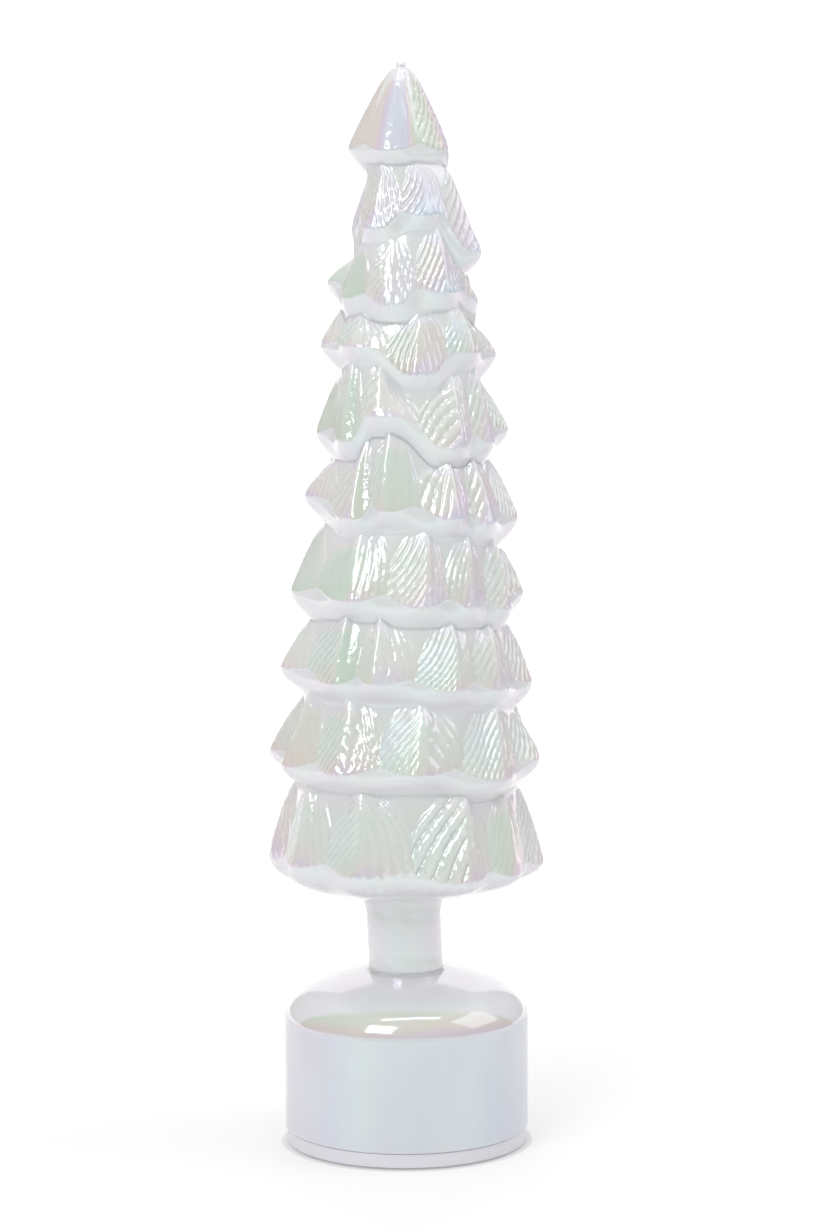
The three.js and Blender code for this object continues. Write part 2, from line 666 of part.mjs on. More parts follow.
function roundedBlock(depth, width, z0, z1, corner) {
  const shape = new THREE.Shape();
  const [x, y] = [depth / 2, width / 2];
  shape.absarc(x - corner, y - corner, corner, 0, Math.PI / 2);
  shape.absarc(-x + corner, y - corner, corner, Math.PI / 2, Math.PI);
  shape.absarc(-x + corner, -y + corner, corner, Math.PI, 1.5 * Math.PI);
  shape.absarc(x - corner, -y + corner, corner, 1.5 * Math.PI, 2 * Math.PI);
  return new THREE.ExtrudeGeometry(shape, { depth: z1 - z0, bevelEnabled: false, curveSegments: 3 })
    .translate(motorX, 0, z0);
}

addPiece('motor_can', roundedBlock(MOTOR_DEPTH, MOTOR_WIDTH, motorBottom, motorTop, MOTOR_CORNER), STEEL);
addPiece('gearbox',
  shaped(
    [roundedBlock(MOTOR_DEPTH, MOTOR_WIDTH, gearboxBottom, deckTop, MOTOR_CORNER / 2)],
    [disc(motorX, 0, deckTop - DECK_THICKNESS, deckTop + 1, SHAFT_RADIUS + SHAFT_RUN)],
  ),
  BRASS);
addPiece('output_shaft',
  disc(motorX, 0, deckTop - DECK_THICKNESS + SEAT, capTop - SEAT, SHAFT_RADIUS),
  STEEL);

// Foot pan, with the door's opening, the switch's slot and recesses for pads and screw heads

const doorHalfWidth = bayHalfWidth - RUN;
const doorHalfLength = bayHalfLength - RUN;
const slotHalfLength = (SWITCH_TRAVEL + KNOB_WIDTH) / 2 + RUN;
const slotHalfDepth = KNOB_DEPTH / 2 + RUN;
const screwHeadTop = panBottom + SCREW_HEAD_HEIGHT + SEAT;

function screwHole(x, y, z0, z1) {
  return disc(x, y, z0, z1, SCREW_RADIUS + SCREW_HOLE_GAP, HOLE_SIDES);
}

function footPanGeometry() {
  const below = panBottom - 1;
  const above = panFloorTop + 1;
  const cuts = [
    disc(0, 0, panFloorTop, panTop + 1, panRadius - PAN_WALL, LARGE_SIDES),
    box(-bayHalfWidth, bayHalfWidth, -bayHalfLength, bayHalfLength, below, above),
    box(DOOR_TAB_X - DOOR_TAB_WIDTH / 2 - RUN, DOOR_TAB_X + DOOR_TAB_WIDTH / 2 + RUN,
      0, doorTabEnd + RUN, below, above),
    box(switchX - slotHalfDepth, switchX + slotHalfDepth, -slotHalfLength, slotHalfLength, below, above),
  ];
  for (const angle of PAD_ANGLES) {
    cuts.push(disc(...place(padCircle, angle), below, panBottom + PAD_RECESS, PAD_RADIUS + SEAT));
  }
  for (const angle of PAN_SCREW_ANGLES) {
    const [x, y] = place(screwCircle, angle);
    cuts.push(disc(x, y, below, screwHeadTop, SCREW_HEAD_RADIUS + SEAT));
    cuts.push(screwHole(x, y, below, above));
  }
  return shaped([disc(0, 0, panBottom, panTop, panRadius, LARGE_SIDES)], cuts);
}

addPiece('foot_pan', footPanGeometry(), WHITE_PLASTIC);

PAD_ANGLES.forEach((angle, i) => {
  addPiece(`rubber_foot_${i + 1}`,
    disc(...place(padCircle, angle), 0, panBottom + PAD_RECESS - SEAT, PAD_RADIUS),
    RUBBER);
});

// A pan-head screw whose shank runs up from z, or down with direction -1.
function screwGeometry(x, y, z, direction) {
  const headEnd = z + direction * SCREW_HEAD_HEIGHT;
  const tipEnd = headEnd + direction * SCREW_LENGTH;
  const head = disc(x, y, Math.min(z, headEnd), Math.max(z, headEnd), SCREW_HEAD_RADIUS);
  const shankStart = headEnd - direction * EMBED;
  const shank = disc(x, y, Math.min(shankStart, tipEnd), Math.max(shankStart, tipEnd), SCREW_RADIUS, HOLE_SIDES);
  const slotEnds = [z - direction * SCREW_HEAD_HEIGHT, z + direction * SCREW_SLOT_DEPTH];
  const slot = box(x - 2 * SCREW_HEAD_RADIUS, x + 2 * SCREW_HEAD_RADIUS,
    y - SCREW_SLOT_WIDTH / 2, y + SCREW_SLOT_WIDTH / 2, Math.min(...slotEnds), Math.max(...slotEnds));
  return shaped([head, shank], [slot]);
}

PAN_SCREW_ANGLES.forEach((angle, i) => {
  addPiece(`pan_screw_${i + 1}`, screwGeometry(...place(screwCircle, angle), panBottom, 1), STEEL);
});

// Drum: a cup upside down, with screw bosses inside and posts for the cap on its deck

const screwHoleTop = screwHeadTop + SCREW_LENGTH + 1;

function drumGeometry() {
  const joined = [ring(drumInner, drumOuter, innerFloor, deckTop)];
  joined.push(disc(0, 0, deckBottom, deckTop, drumInner + EMBED, LARGE_SIDES));
  const cuts = [];
  for (const angle of PAN_SCREW_ANGLES) {
    const [x, y] = place(screwCircle, angle);
    joined.push(disc(x, y, innerFloor, deckBottom + EMBED, BOSS_RADIUS));
    cuts.push(screwHole(x, y, innerFloor - 1, screwHoleTop));
  }
  for (const angle of CAP_POST_ANGLES) {
    const [x, y] = place(CAP_POST_CIRCLE, angle);
    joined.push(disc(x, y, deckTop - EMBED, capBottom - SEAT, CAP_POST_RADIUS));
    cuts.push(screwHole(x, y, capTop - SCREW_LENGTH - 1, capBottom));
  }
  const [depth, width] = [MOTOR_DEPTH / 2 + SEAT, MOTOR_WIDTH / 2 + SEAT];
  cuts.push(box(motorX - depth, motorX + depth, -width, width, deckBottom - 1, deckTop + 1));
  cuts.push(disc(0, 0, deckBottom - 1, deckTop + 1, MAST_RADIUS));
  return shaped(joined, cuts);
}

addPiece('drum_housing', drumGeometry(), WHITE_PLASTIC);

// Cap that traps the carrier, with the socket of the mast in its middle

const capRadius = carrierOuter - CARRIER_RIM;
const socketRadius = MAST_RADIUS + SEAT + MAST_SOCKET_WALL;
const mastInner = MAST_RADIUS - MAST_WALL;
const socketTop = mastBottom + MAST_SOCKET_HEIGHT;

function retainerCapGeometry() {
  const joined = [
    disc(0, 0, capBottom, capTop, capRadius, LARGE_SIDES),
    disc(0, 0, capTop - EMBED, socketTop, socketRadius),
  ];
  const cuts = [
    disc(0, 0, mastBottom - SEAT, socketTop + 1, MAST_RADIUS + SEAT),
    disc(0, 0, capBottom - 1, socketTop, mastInner),
    disc(motorX, 0, capBottom - 1, capTop + 1, SHAFT_RADIUS + SHAFT_RUN),
  ];
  for (const angle of CAP_POST_ANGLES) {
    cuts.push(screwHole(...place(CAP_POST_CIRCLE, angle), capBottom - 1, capTop + 1));
  }
  return shaped(joined, cuts);
}

addPiece('retainer_cap', retainerCapGeometry(), WHITE_PLASTIC);

CAP_POST_ANGLES.forEach((angle, i) => {
  const headTop = capTop + SEAT + SCREW_HEAD_HEIGHT;
  addPiece(`cap_screw_${i + 1}`, screwGeometry(...place(CAP_POST_CIRCLE, angle), headTop, -1), STEEL);
});

// Light mast: a clear tube around a strip of LEDs

const plugBottom = mastTop + SEAT;
addPiece('light_mast', ring(mastInner, MAST_RADIUS, mastBottom, mastTop, ROUND_SIDES), CLEAR_PLASTIC);
addPiece('mast_plug',
  shaped([
    disc(0, 0, plugBottom, plugBottom + MAST_PLUG_HEIGHT, MAST_RADIUS),
    disc(0, 0, plugBottom - 2 * MAST_PLUG_HEIGHT, plugBottom + EMBED, mastInner - SEAT),
  ]),
  WHITE_PLASTIC);

const stripBottom = mastBottom + SEAT;
const stripTop = plugBottom - 2 * MAST_PLUG_HEIGHT - SEAT;
addPiece('led_strip',
  box(-STRIP_WIDTH / 2, STRIP_WIDTH / 2, 0, STRIP_THICKNESS, stripBottom, stripTop),
  BOARD_GREEN);

const ledPitch = (stripTop - socketTop) / LED_COUNT;
for (let i = 0; i < LED_COUNT; i += 1) {
  const z = socketTop + (i + 0.5) * ledPitch;
  addPiece(`led_${i + 1}`,
    box(-LED_SIZE / 2, LED_SIZE / 2, -SEAT - LED_THICKNESS, -SEAT, z - LED_SIZE / 2, z + LED_SIZE / 2),
    LED_WHITE);
}

// Cells side by side along X, each turned end for end from the one beside it

const cellX = (i) => (i - (CELL_COUNT - 1) / 2) * cellPitch;
const cellFacing = (i) => (i % 2 === 0 ? 1 : -1);

function cellGeometry(i) {
  const half = (CELL_LENGTH + CELL_STUD_LENGTH) / 2;
  const profile = [
    [0, -half],
    [CELL_RADIUS, -half],
    [CELL_RADIUS, half - CELL_STUD_LENGTH],
    [CELL_STUD_RADIUS, half - CELL_STUD_LENGTH],
    [CELL_STUD_RADIUS, half],
    [0, half],
  ];
  return turned(profile, ROUND_SIDES)
    .rotateX(-cellFacing(i) * (Math.PI / 2))
    .translate(cellX(i), 0, cellAxisZ);
}

for (let i = 0; i < CELL_COUNT; i += 1) {
  addPiece(`battery_cell_${i + 1}`, cellGeometry(i), CELL_SKIN);
}

// Contacts: a plate on the end wall, with a spring cone at each minus end and a stud at each plus
// end. A terminal has a tab that rises through the roof of the box.
const wallFace = bayHalfLength - SEAT;
const tabTop = leadLevel + LEAD_RADIUS;

function contactBump(i, side) {
  const plus = cellFacing(i) === side;
  const [base, end] = plus ? [CELL_STUD_RADIUS, CELL_STUD_RADIUS / 2] : [CELL_RADIUS / 2, CELL_RADIUS / 4];
  const length = CONTACT_REACH - SEAT + EMBED;
  const bump = new THREE.CylinderGeometry(end, base, length, HOLE_SIDES);
  if (side > 0) bump.rotateZ(Math.PI);
  return bump.translate(cellX(i), side * (wallFace - CONTACT_PLATE + EMBED - length / 2), cellAxisZ);
}

function contactGeometry(cells, side) {
  const inner = side * (wallFace - CONTACT_PLATE);
  const outer = side * wallFace;
  const [y0, y1] = [Math.min(inner, outer), Math.max(inner, outer)];
  const x0 = cellX(cells[0]) - CONTACT_WIDTH / 2;
  const x1 = cellX(cells[cells.length - 1]) + CONTACT_WIDTH / 2;
  const joined = [box(x0, x1, y0, y1, cellAxisZ - CONTACT_WIDTH / 2, cellAxisZ + CONTACT_WIDTH / 2)];
  joined.push(...cells.map((i) => contactBump(i, side)));
  if (cells.length === 1) {
    const x = cellX(cells[0]);
    joined.push(box(x - CONTACT_TAB_WIDTH / 2, x + CONTACT_TAB_WIDTH / 2, y0, y1, cellAxisZ, tabTop));
  }
  return shaped(joined);
}

const lastCell = CELL_COUNT - 1;
addPiece('terminal_plus', contactGeometry([0], 1), STEEL);
addPiece('terminal_minus', contactGeometry([lastCell], -1), STEEL);
addPiece('contact_bridge_1', contactGeometry([0, 1], -1), STEEL);
addPiece('contact_bridge_2', contactGeometry([1, lastCell], 1), STEEL);

// Battery box: open below, with a slot in its roof for each terminal's tab and the door's boss

function batteryBoxGeometry() {
  const tabSlot = (x, side) => {
    const half = CONTACT_TAB_WIDTH / 2 + SEAT;
    const [near, far] = [side * (bayHalfLength - CONTACT_PLATE - 3 * SEAT), side * bayHalfLength];
    return box(x - half, x + half, Math.min(near, far), Math.max(near, far), boxCeiling - 1, boxTop + 1);
  };
  return shaped([
    box(-boxHalfWidth, boxHalfWidth, -boxHalfLength, boxHalfLength, innerFloor, boxTop),
    disc(DOOR_TAB_X, doorTabY, innerFloor, boxTop, BOSS_RADIUS),
  ], [
    box(-bayHalfWidth, bayHalfWidth, -bayHalfLength, bayHalfLength, innerFloor - 1, boxCeiling),
    tabSlot(cellX(0), 1),
    tabSlot(cellX(lastCell), -1),
    screwHole(DOOR_TAB_X, doorTabY, innerFloor - 1, screwHoleTop),
  ]);
}

addPiece('battery_box', batteryBoxGeometry(), WHITE_PLASTIC);

// Battery door, flush in the underside of the pan and held by one screw through its tab

const doorTop = panBottom + DOOR_THICKNESS;
addPiece('battery_door',
  shaped([
    box(-doorHalfWidth, doorHalfWidth, -doorHalfLength, doorHalfLength, panBottom, doorTop),
    box(DOOR_TAB_X - DOOR_TAB_WIDTH / 2, DOOR_TAB_X + DOOR_TAB_WIDTH / 2, 0, doorTabEnd, panBottom, doorTop),
  ], [
    disc(DOOR_TAB_X, doorTabY, panBottom - 1, screwHeadTop, SCREW_HEAD_RADIUS + SEAT),
    screwHole(DOOR_TAB_X, doorTabY, panBottom, doorTop + 1),
  ]),
  WHITE_PLASTIC);
addPiece('door_screw', screwGeometry(DOOR_TAB_X, doorTabY, panBottom, 1), STEEL);

// Switch under its board, and its knob through the slot in the pan

const knobTop = switchBottom + KNOB_IN_SWITCH;
const switchHalfDepth = SWITCH_DEPTH / 2;
const switchHalfWidth = SWITCH_WIDTH / 2;
addPiece('switch_body',
  shaped(
    [box(switchX - switchHalfDepth, switchX + switchHalfDepth, -switchHalfWidth, switchHalfWidth,
      switchBottom, switchTop)],
    [box(switchX - slotHalfDepth, switchX + slotHalfDepth, -slotHalfLength, slotHalfLength,
      switchBottom - 1, knobTop + RUN)],
  ),
  BLACK_PLASTIC);
addPiece('switch_knob',
  box(switchX - KNOB_DEPTH / 2, switchX + KNOB_DEPTH / 2, knobRestY - KNOB_WIDTH / 2, knobRestY + KNOB_WIDTH / 2,
    panBottom + KNOB_RECESS, knobTop),
  BLACK_PLASTIC);
addPiece('control_board',
  box(switchX - BOARD_DEPTH / 2, switchX + BOARD_DEPTH / 2, -BOARD_WIDTH / 2, BOARD_WIDTH / 2,
    switchTop + SEAT, boardTop),
  BOARD_GREEN);

// Leads run under the deck, over the roof of the battery box, and drop to the board. Each is a
// tube along straight runs with rounded bends.

function leadGeometry(points) {
  const corners = points.map(([x, y, z]) => new THREE.Vector3(x, y, z));
  const path = new THREE.CurvePath();
  let from = corners[0];
  for (let i = 1; i < corners.length - 1; i += 1) {
    const corner = corners[i];
    const before = Math.min(LEAD_BEND, corner.distanceTo(corners[i - 1]) / 2);
    const after = Math.min(LEAD_BEND, corner.distanceTo(corners[i + 1]) / 2);
    const bendStart = corner.clone().add(corners[i - 1].clone().sub(corner).setLength(before));
    const bendEnd = corner.clone().add(corners[i + 1].clone().sub(corner).setLength(after));
    path.add(new THREE.LineCurve3(from, bendStart));
    path.add(new THREE.QuadraticBezierCurve3(bendStart, corner, bendEnd));
    from = bendEnd;
  }
  path.add(new THREE.LineCurve3(from, corners[corners.length - 1]));
  return new THREE.ExtrudeGeometry(new THREE.Shape(circleOutline(LEAD_RADIUS, LEAD_SIDES)), {
    steps: Math.ceil(path.getLength() / LEAD_STEP),
    bevelEnabled: false,
    extrudePath: path,
  });
}

const dropX = -boxHalfWidth - LEAD_DROP_GAP;
const leadEnd = boardTop + SEAT;

function alongRoofToBoard(y) {
  return [[dropX, y, leadLevel], [dropX, y, leadEnd]];
}

// Up the front of the gearbox, and round its corner over the roof.
function fromMotor(y) {
  const frontY = -(MOTOR_WIDTH / 2 + SEAT + LEAD_RADIUS);
  const cornerX = motorX - MOTOR_DEPTH / 2 - LEAD_SPACING;
  return [
    [motorX, frontY, motorTop],
    [motorX, frontY, leadLevel],
    [cornerX, frontY, leadLevel],
    [cornerX, y, leadLevel],
    ...alongRoofToBoard(y),
  ];
}

function fromTerminal(i, side, y) {
  const start = side * (wallFace - CONTACT_PLATE - SEAT);
  return [[cellX(i), start, leadLevel], [cellX(i), y, leadLevel], ...alongRoofToBoard(y)];
}

function fromMast(y) {
  return [[0, y, mastBottom - SEAT], [0, y, leadLevel], ...alongRoofToBoard(y)];
}

addPiece('motor_lead', leadGeometry(fromMotor(-LEAD_SPACING)), BLACK_LEAD);
addPiece('led_lead', leadGeometry(fromMast(0)), WHITE_LEAD);
addPiece('battery_lead_plus', leadGeometry(fromTerminal(0, 1, LEAD_SPACING)), RED_LEAD);
addPiece('battery_lead_minus', leadGeometry(fromTerminal(lastCell, -1, -2 * LEAD_SPACING)), BLACK_LEAD);

export default tree;
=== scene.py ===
"""Rotating LED tree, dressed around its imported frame: a pearl glass fir tree bonded to a domed glass
base, on a white plastic foot with its cells, gear motor, switch and mast of LEDs.

Metres, +Z up, -Y towards the viewer. Angles are in degrees, start at the front and grow towards +X.
Sizes whose names end in _MM are in millimetres.
"""

import math

import bmesh
import bpy
import numpy as np
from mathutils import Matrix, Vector


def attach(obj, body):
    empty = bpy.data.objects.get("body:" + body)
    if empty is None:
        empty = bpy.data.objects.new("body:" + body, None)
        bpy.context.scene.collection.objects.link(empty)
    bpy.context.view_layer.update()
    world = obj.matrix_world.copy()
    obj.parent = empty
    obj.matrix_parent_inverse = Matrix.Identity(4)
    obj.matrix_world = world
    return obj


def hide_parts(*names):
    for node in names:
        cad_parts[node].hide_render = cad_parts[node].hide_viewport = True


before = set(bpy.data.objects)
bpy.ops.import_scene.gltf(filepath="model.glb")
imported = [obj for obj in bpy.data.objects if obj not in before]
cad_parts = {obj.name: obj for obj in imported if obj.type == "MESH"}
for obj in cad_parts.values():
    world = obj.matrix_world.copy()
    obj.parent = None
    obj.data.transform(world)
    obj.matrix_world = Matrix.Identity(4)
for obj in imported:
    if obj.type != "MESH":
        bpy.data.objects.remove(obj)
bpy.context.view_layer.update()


# Rubber feet
# Four grey pads pressed into recesses in the foot pan. Matt rubber with a fine mould grain, a
# little dustier in patches.

class Number:
    """A value that changes over a surface. Arithmetic on it gives further such values."""

    def __init__(self, finish, socket):
        self.finish = finish
        self.socket = socket

    def math(self, operation, first, second=0.0):
        return self.finish.node("ShaderNodeMath", {"operation": operation}, {0: first, 1: second})

    def __add__(self, other):
        return self.math("ADD", self, other)

    __radd__ = __add__

    def __sub__(self, other):
        return self.math("SUBTRACT", self, other)

    def __rsub__(self, other):
        return self.math("SUBTRACT", other, self)

    def __mul__(self, other):
        return self.math("MULTIPLY", self, other)

    __rmul__ = __mul__

    def __gt__(self, other):
        return self.math("GREATER_THAN", self, other)


class Finish:
    """A material. Its nodes are added one call each, and its shader takes what is named in show()."""

    def __init__(self, name):
        self.material = bpy.data.materials.new(name)
        self.material.use_nodes = True
        self.tree = self.material.node_tree
        self.tree.nodes.clear()
        self.where = self.node("ShaderNodeTexCoord", output="Object")

    def node(self, kind, settings=None, sockets=None, output=0):
        """Adds a node of a type, with its settings and then its sockets' values or links."""
        made = self.tree.nodes.new(kind)
        for name, value in (settings or {}).items():
            if name == "stops":
                ramp = made.color_ramp.elements
                while len(ramp) < len(value):
                    ramp.new(0.5)
                for stop, (position, colour) in zip(ramp, value):
                    stop.position = position
                    stop.color = (*colour, 1)
            else:
                setattr(made, name, value)
        for name, value in (sockets or {}).items():
            if isinstance(value, Number):
                self.tree.links.new(value.socket, made.inputs[name])
            elif isinstance(value, tuple) and len(value) == 3 and len(made.inputs[name].default_value) == 4:
                made.inputs[name].default_value = (*value, 1)
            else:
                made.inputs[name].default_value = value
        return Number(self, made.outputs[output]) if made.outputs else None

    def stretched(self, x, y, z):
        """The place on the piece, multiplied along each axis."""
        return self.node("ShaderNodeMapping", sockets={"Vector": self.where, "Scale": (x, y, z)})

    def noise(self, scale, detail=2.0, where=None, distortion=0.0):
        """A cloudy value from 0 to 1. Scale is in clouds per metre."""
        return self.node("ShaderNodeTexNoise", sockets={
            "Vector": where or self.where, "Scale": scale, "Detail": detail, "Distortion": distortion})

    def blend(self, share, first, second):
        """A colour between two colours."""
        return self.node("ShaderNodeMix", {"data_type": "RGBA"}, {0: share, 6: first, 7: second}, output=2)

    def ramp(self, value, stops):
        return self.node("ShaderNodeValToRGB", {"stops": stops}, {0: value})

    def bump(self, height, distance, strength=1.0):
        return self.node("ShaderNodeBump", sockets={
            "Height": height, "Distance": distance, "Strength": strength})

    def shader(self, **sockets):
        """A principled shader. An underscore in a socket's name stands for a space."""
        return self.node("ShaderNodeBsdfPrincipled", sockets={
            name.replace("_", " "): value for name, value in sockets.items()})

    def show(self, shader):
        self.node("ShaderNodeOutputMaterial", sockets={"Surface": shader})
        return self


def grained(name, colour, shade, roughness, grain, grain_depth, **more):
    """A moulded skin: colour drifts to shade in soft clouds, and a fine grain lifts the surface."""
    finish = Finish(name)
    clouds = finish.noise(90, 3)
    fine = finish.noise(grain, 2)
    return finish.show(finish.shader(
        Base_Color=finish.blend(clouds, colour, shade),
        Roughness=roughness + 0.12 * (fine - 0.5) + 0.08 * (clouds - 0.5),
        Normal=finish.bump(fine, grain_depth),
        **more))


def cover(finish, *names):
    """Gives CAD nodes a finish."""
    for name in names:
        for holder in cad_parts[name].material_slots:
            holder.material = finish.material


SAME_POINT = 1e-6
FLAT_DEGREES = 0.5
SHARP_DEGREES = 35
EDGE_SEGMENTS = 3


def softened(name, node, finish, edge, body):
    """A copy of a CAD node whose sharp edges are rounded to a radius, in its place."""
    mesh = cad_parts[node].data.copy()
    mesh.materials.clear()
    mesh.materials.append(finish.material)
    work = bmesh.new()
    work.from_mesh(mesh)
    bmesh.ops.remove_doubles(work, verts=work.verts, dist=SAME_POINT)
    bmesh.ops.dissolve_limit(work, angle_limit=math.radians(FLAT_DEGREES), verts=work.verts,
                             edges=work.edges)
    work.to_mesh(mesh)
    work.free()
    mesh.shade_smooth()
    mesh.set_sharp_from_angle(angle=math.radians(SHARP_DEGREES))
    piece = bpy.data.objects.new(name, mesh)
    bpy.context.scene.collection.objects.link(piece)
    rounding = piece.modifiers.new("rounding", "BEVEL")
    rounding.width = edge
    rounding.segments = EDGE_SEGMENTS
    rounding.limit_method = "ANGLE"
    rounding.angle_limit = math.radians(SHARP_DEGREES)
    rounding.harden_normals = True
    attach(piece, body)
    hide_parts(node)
    return piece


PAD_EDGE = 0.0003
RUBBER = grained("grey_rubber", (0.33, 0.34, 0.36), (0.27, 0.28, 0.3), roughness=0.85, grain=4200,
                 grain_depth=0.00006)

for i in range(1, 5):
    softened(f"foot_pad_{i}", f"rubber_foot_{i}", RUBBER, PAD_EDGE, "foot")


# Foot pan and battery door
# The ring of white plastic under the glass, with a slight lavender cast, is the rim of a round pan.
# Pan and door are injection moulded, with soft edges and a satin skin.

WHITE = (0.69, 0.68, 0.72)
WHITE_SHADE = (0.66, 0.65, 0.7)
PAN_EDGE = 0.00045
DOOR_EDGE = 0.0003
MOULDED_WHITE = grained("moulded_white", WHITE, WHITE_SHADE, roughness=0.34, grain=2600,
                        grain_depth=0.00002, Coat_Weight=0.15, Coat_Roughness=0.2)

softened("pan_moulding", "foot_pan", MOULDED_WHITE, PAN_EDGE, "foot")
softened("door_moulding", "battery_door", MOULDED_WHITE, DOOR_EDGE, "door")


# Drum, retaining cap, mast plug and battery box
# The inner mouldings, in the same white plastic with a coarser skin, since they are out of sight. The
# drum is screwed to the pan, and the cap to the drum.

INNER_SHADE = (0.7, 0.69, 0.74)
INNER_WHITE = grained("inner_white", WHITE, INNER_SHADE, roughness=0.5, grain=1500,
                      grain_depth=0.00005)
cover(INNER_WHITE, "drum_housing", "retainer_cap", "mast_plug", "battery_box")


# Screws, terminals, motor can and gearbox
# Zinc-plated steel: bright, with drawn lines along one way and a faint blue passivation. The case of
# the gearbox is satin brass.

def plated(name, colour, shade, roughness, lines):
    """Bright metal: lines per metre along each axis, and clouds of a second colour."""
    finish = Finish(name)
    drawn = finish.noise(1, 2, finish.stretched(*lines))
    clouds = finish.noise(220, 3)
    return finish.show(finish.shader(
        Base_Color=finish.blend(clouds, colour, shade),
        Metallic=1.0,
        Roughness=roughness + 0.2 * (drawn - 0.5),
        Normal=finish.bump(drawn, 0.00003)))


PLATED_STEEL = plated("plated_steel", (0.62, 0.64, 0.66), (0.55, 0.58, 0.64), roughness=0.3,
                      lines=(300, 9000, 9000))
DRAWN_STEEL = plated("drawn_steel", (0.6, 0.62, 0.63), (0.52, 0.54, 0.56), roughness=0.28,
                     lines=(9000, 9000, 250))
cover(PLATED_STEEL,
      "pan_screw_1", "pan_screw_2", "pan_screw_3", "pan_screw_4",
      "cap_screw_1", "cap_screw_2", "cap_screw_3", "door_screw",
      "terminal_plus", "terminal_minus", "contact_bridge_1", "contact_bridge_2")
cover(DRAWN_STEEL, "motor_can", "output_shaft")

BRASS = plated("satin_brass", (0.72, 0.55, 0.27), (0.64, 0.47, 0.22), roughness=0.36,
               lines=(9000, 9000, 400))
cover(BRASS, "gearbox")


# Cells
# Three AA cells, side by side in the battery box. Each has a plain shrunk sleeve, dark blue with a
# paler metallic band at each end.

CELL_BAND_START = 0.0195
SLEEVE_BLUE = (0.07, 0.16, 0.25)
BAND_GREY = (0.42, 0.47, 0.5)
SCUFF_GREY = (0.3, 0.34, 0.38)


def cell_sleeve():
    """The sleeve's colour changes at a set distance from the cell's middle."""
    finish = Finish("cell_sleeve")
    along = finish.node("ShaderNodeSeparateXYZ", sockets={0: finish.where}, output="Y")
    far = finish.node("ShaderNodeMath", {"operation": "ABSOLUTE"}, {0: along})
    band = far > CELL_BAND_START
    scuffs = finish.noise(700, 4)
    colour = finish.blend(band, SLEEVE_BLUE, BAND_GREY)
    return finish.show(finish.shader(
        Base_Color=finish.blend(0.25 * scuffs, colour, SCUFF_GREY),
        Metallic=0.35 * band,
        Roughness=0.3 + 0.25 * scuffs,
        Normal=finish.bump(scuffs, 0.00001)))


cover(cell_sleeve(), "battery_cell_1", "battery_cell_2", "battery_cell_3")


# Switch, its knob and the control board
# A black plastic slide switch soldered under a green board. Its knob is ribbed across for a fingertip,
# and is reached through a slot in the pan.

KNOB_EDGE = 0.00025
KNOB_RIB_SCALE = 420.0
COPPER_RUN_SCALE = 320.0
BLACK = grained("black_plastic", (0.022, 0.022, 0.024), (0.03, 0.03, 0.032), roughness=0.5,
                grain=2400, grain_depth=0.00003)
cover(BLACK, "switch_body")


def ribbed_black():
    """Ribs along X, repeated along Y."""
    finish = Finish("ribbed_black")
    ribs = finish.node("ShaderNodeTexWave", {"bands_direction": "Y"}, {
        "Vector": finish.where, "Scale": KNOB_RIB_SCALE}, output="Fac")
    return finish.show(finish.shader(
        Base_Color=finish.blend(ribs, (0.018, 0.018, 0.02), (0.035, 0.035, 0.038)),
        Roughness=0.42 + 0.15 * ribs,
        Normal=finish.bump(ribs, 0.00012)))


softened("switch_slider", "switch_knob", ribbed_black(), KNOB_EDGE, "switch")


def circuit_board():
    """Green solder mask with raised copper runs between cells of a square pattern."""
    finish = Finish("solder_mask")
    runs = finish.node("ShaderNodeTexBrick", sockets={
        "Vector": finish.where, "Scale": COPPER_RUN_SCALE, "Mortar Size": 0.06,
        "Color1": (0, 0, 0), "Color2": (0.1, 0.1, 0.1), "Mortar": (1, 1, 1)}, output="Fac")
    weave = finish.noise(3000, 1)
    return finish.show(finish.shader(
        Base_Color=finish.blend(runs, (0.02, 0.13, 0.06), (0.05, 0.22, 0.1)),
        Roughness=0.35 + 0.15 * weave,
        Normal=finish.bump(0.6 * runs + 0.2 * weave, 0.00004)))


cover(circuit_board(), "control_board", "led_strip")


# Leads
# Thin stranded wire in smooth PVC, red and black from the cells, black to the motor and white to the
# LEDs, soldered at both ends.

WIRE_SHADE = 0.8


def insulated(name, colour):
    """Glossy PVC with a slow waviness from the strands under it."""
    finish = Finish(name)
    strands = finish.noise(1800, 1)
    dull = tuple(WIRE_SHADE * part for part in colour)
    return finish.show(finish.shader(
        Base_Color=finish.blend(strands, colour, dull),
        Roughness=0.34 + 0.1 * strands,
        Normal=finish.bump(strands, 0.00002)))


cover(insulated("red_wire", (0.46, 0.02, 0.025)), "battery_lead_plus")
cover(insulated("black_wire", (0.014, 0.014, 0.016)), "motor_lead", "battery_lead_minus")
cover(insulated("white_wire", (0.78, 0.78, 0.75)), "led_lead")


# Turntable: bearing ring, toothed carrier, pinion and gasket
# The gears are machined from natural acetal and the thrust ring from grey nylon. The gasket is
# translucent silicone that grips the inside of the glass.

ACETAL = grained("natural_acetal", (0.84, 0.83, 0.77), (0.79, 0.78, 0.73), roughness=0.42,
                 grain=1200, grain_depth=0.00002)
NYLON = grained("grey_nylon", (0.56, 0.59, 0.62), (0.5, 0.53, 0.57), roughness=0.55, grain=1900,
                grain_depth=0.00004)
SILICONE = grained("gasket_silicone", (0.68, 0.7, 0.72), (0.62, 0.64, 0.67), roughness=0.6, grain=800,
                   grain_depth=0.00003, Subsurface_Weight=0.3, Subsurface_Scale=0.002)
cover(ACETAL, "carrier_ring", "drive_pinion")
cover(NYLON, "bearing_ring")
cover(SILICONE, "glass_gasket")


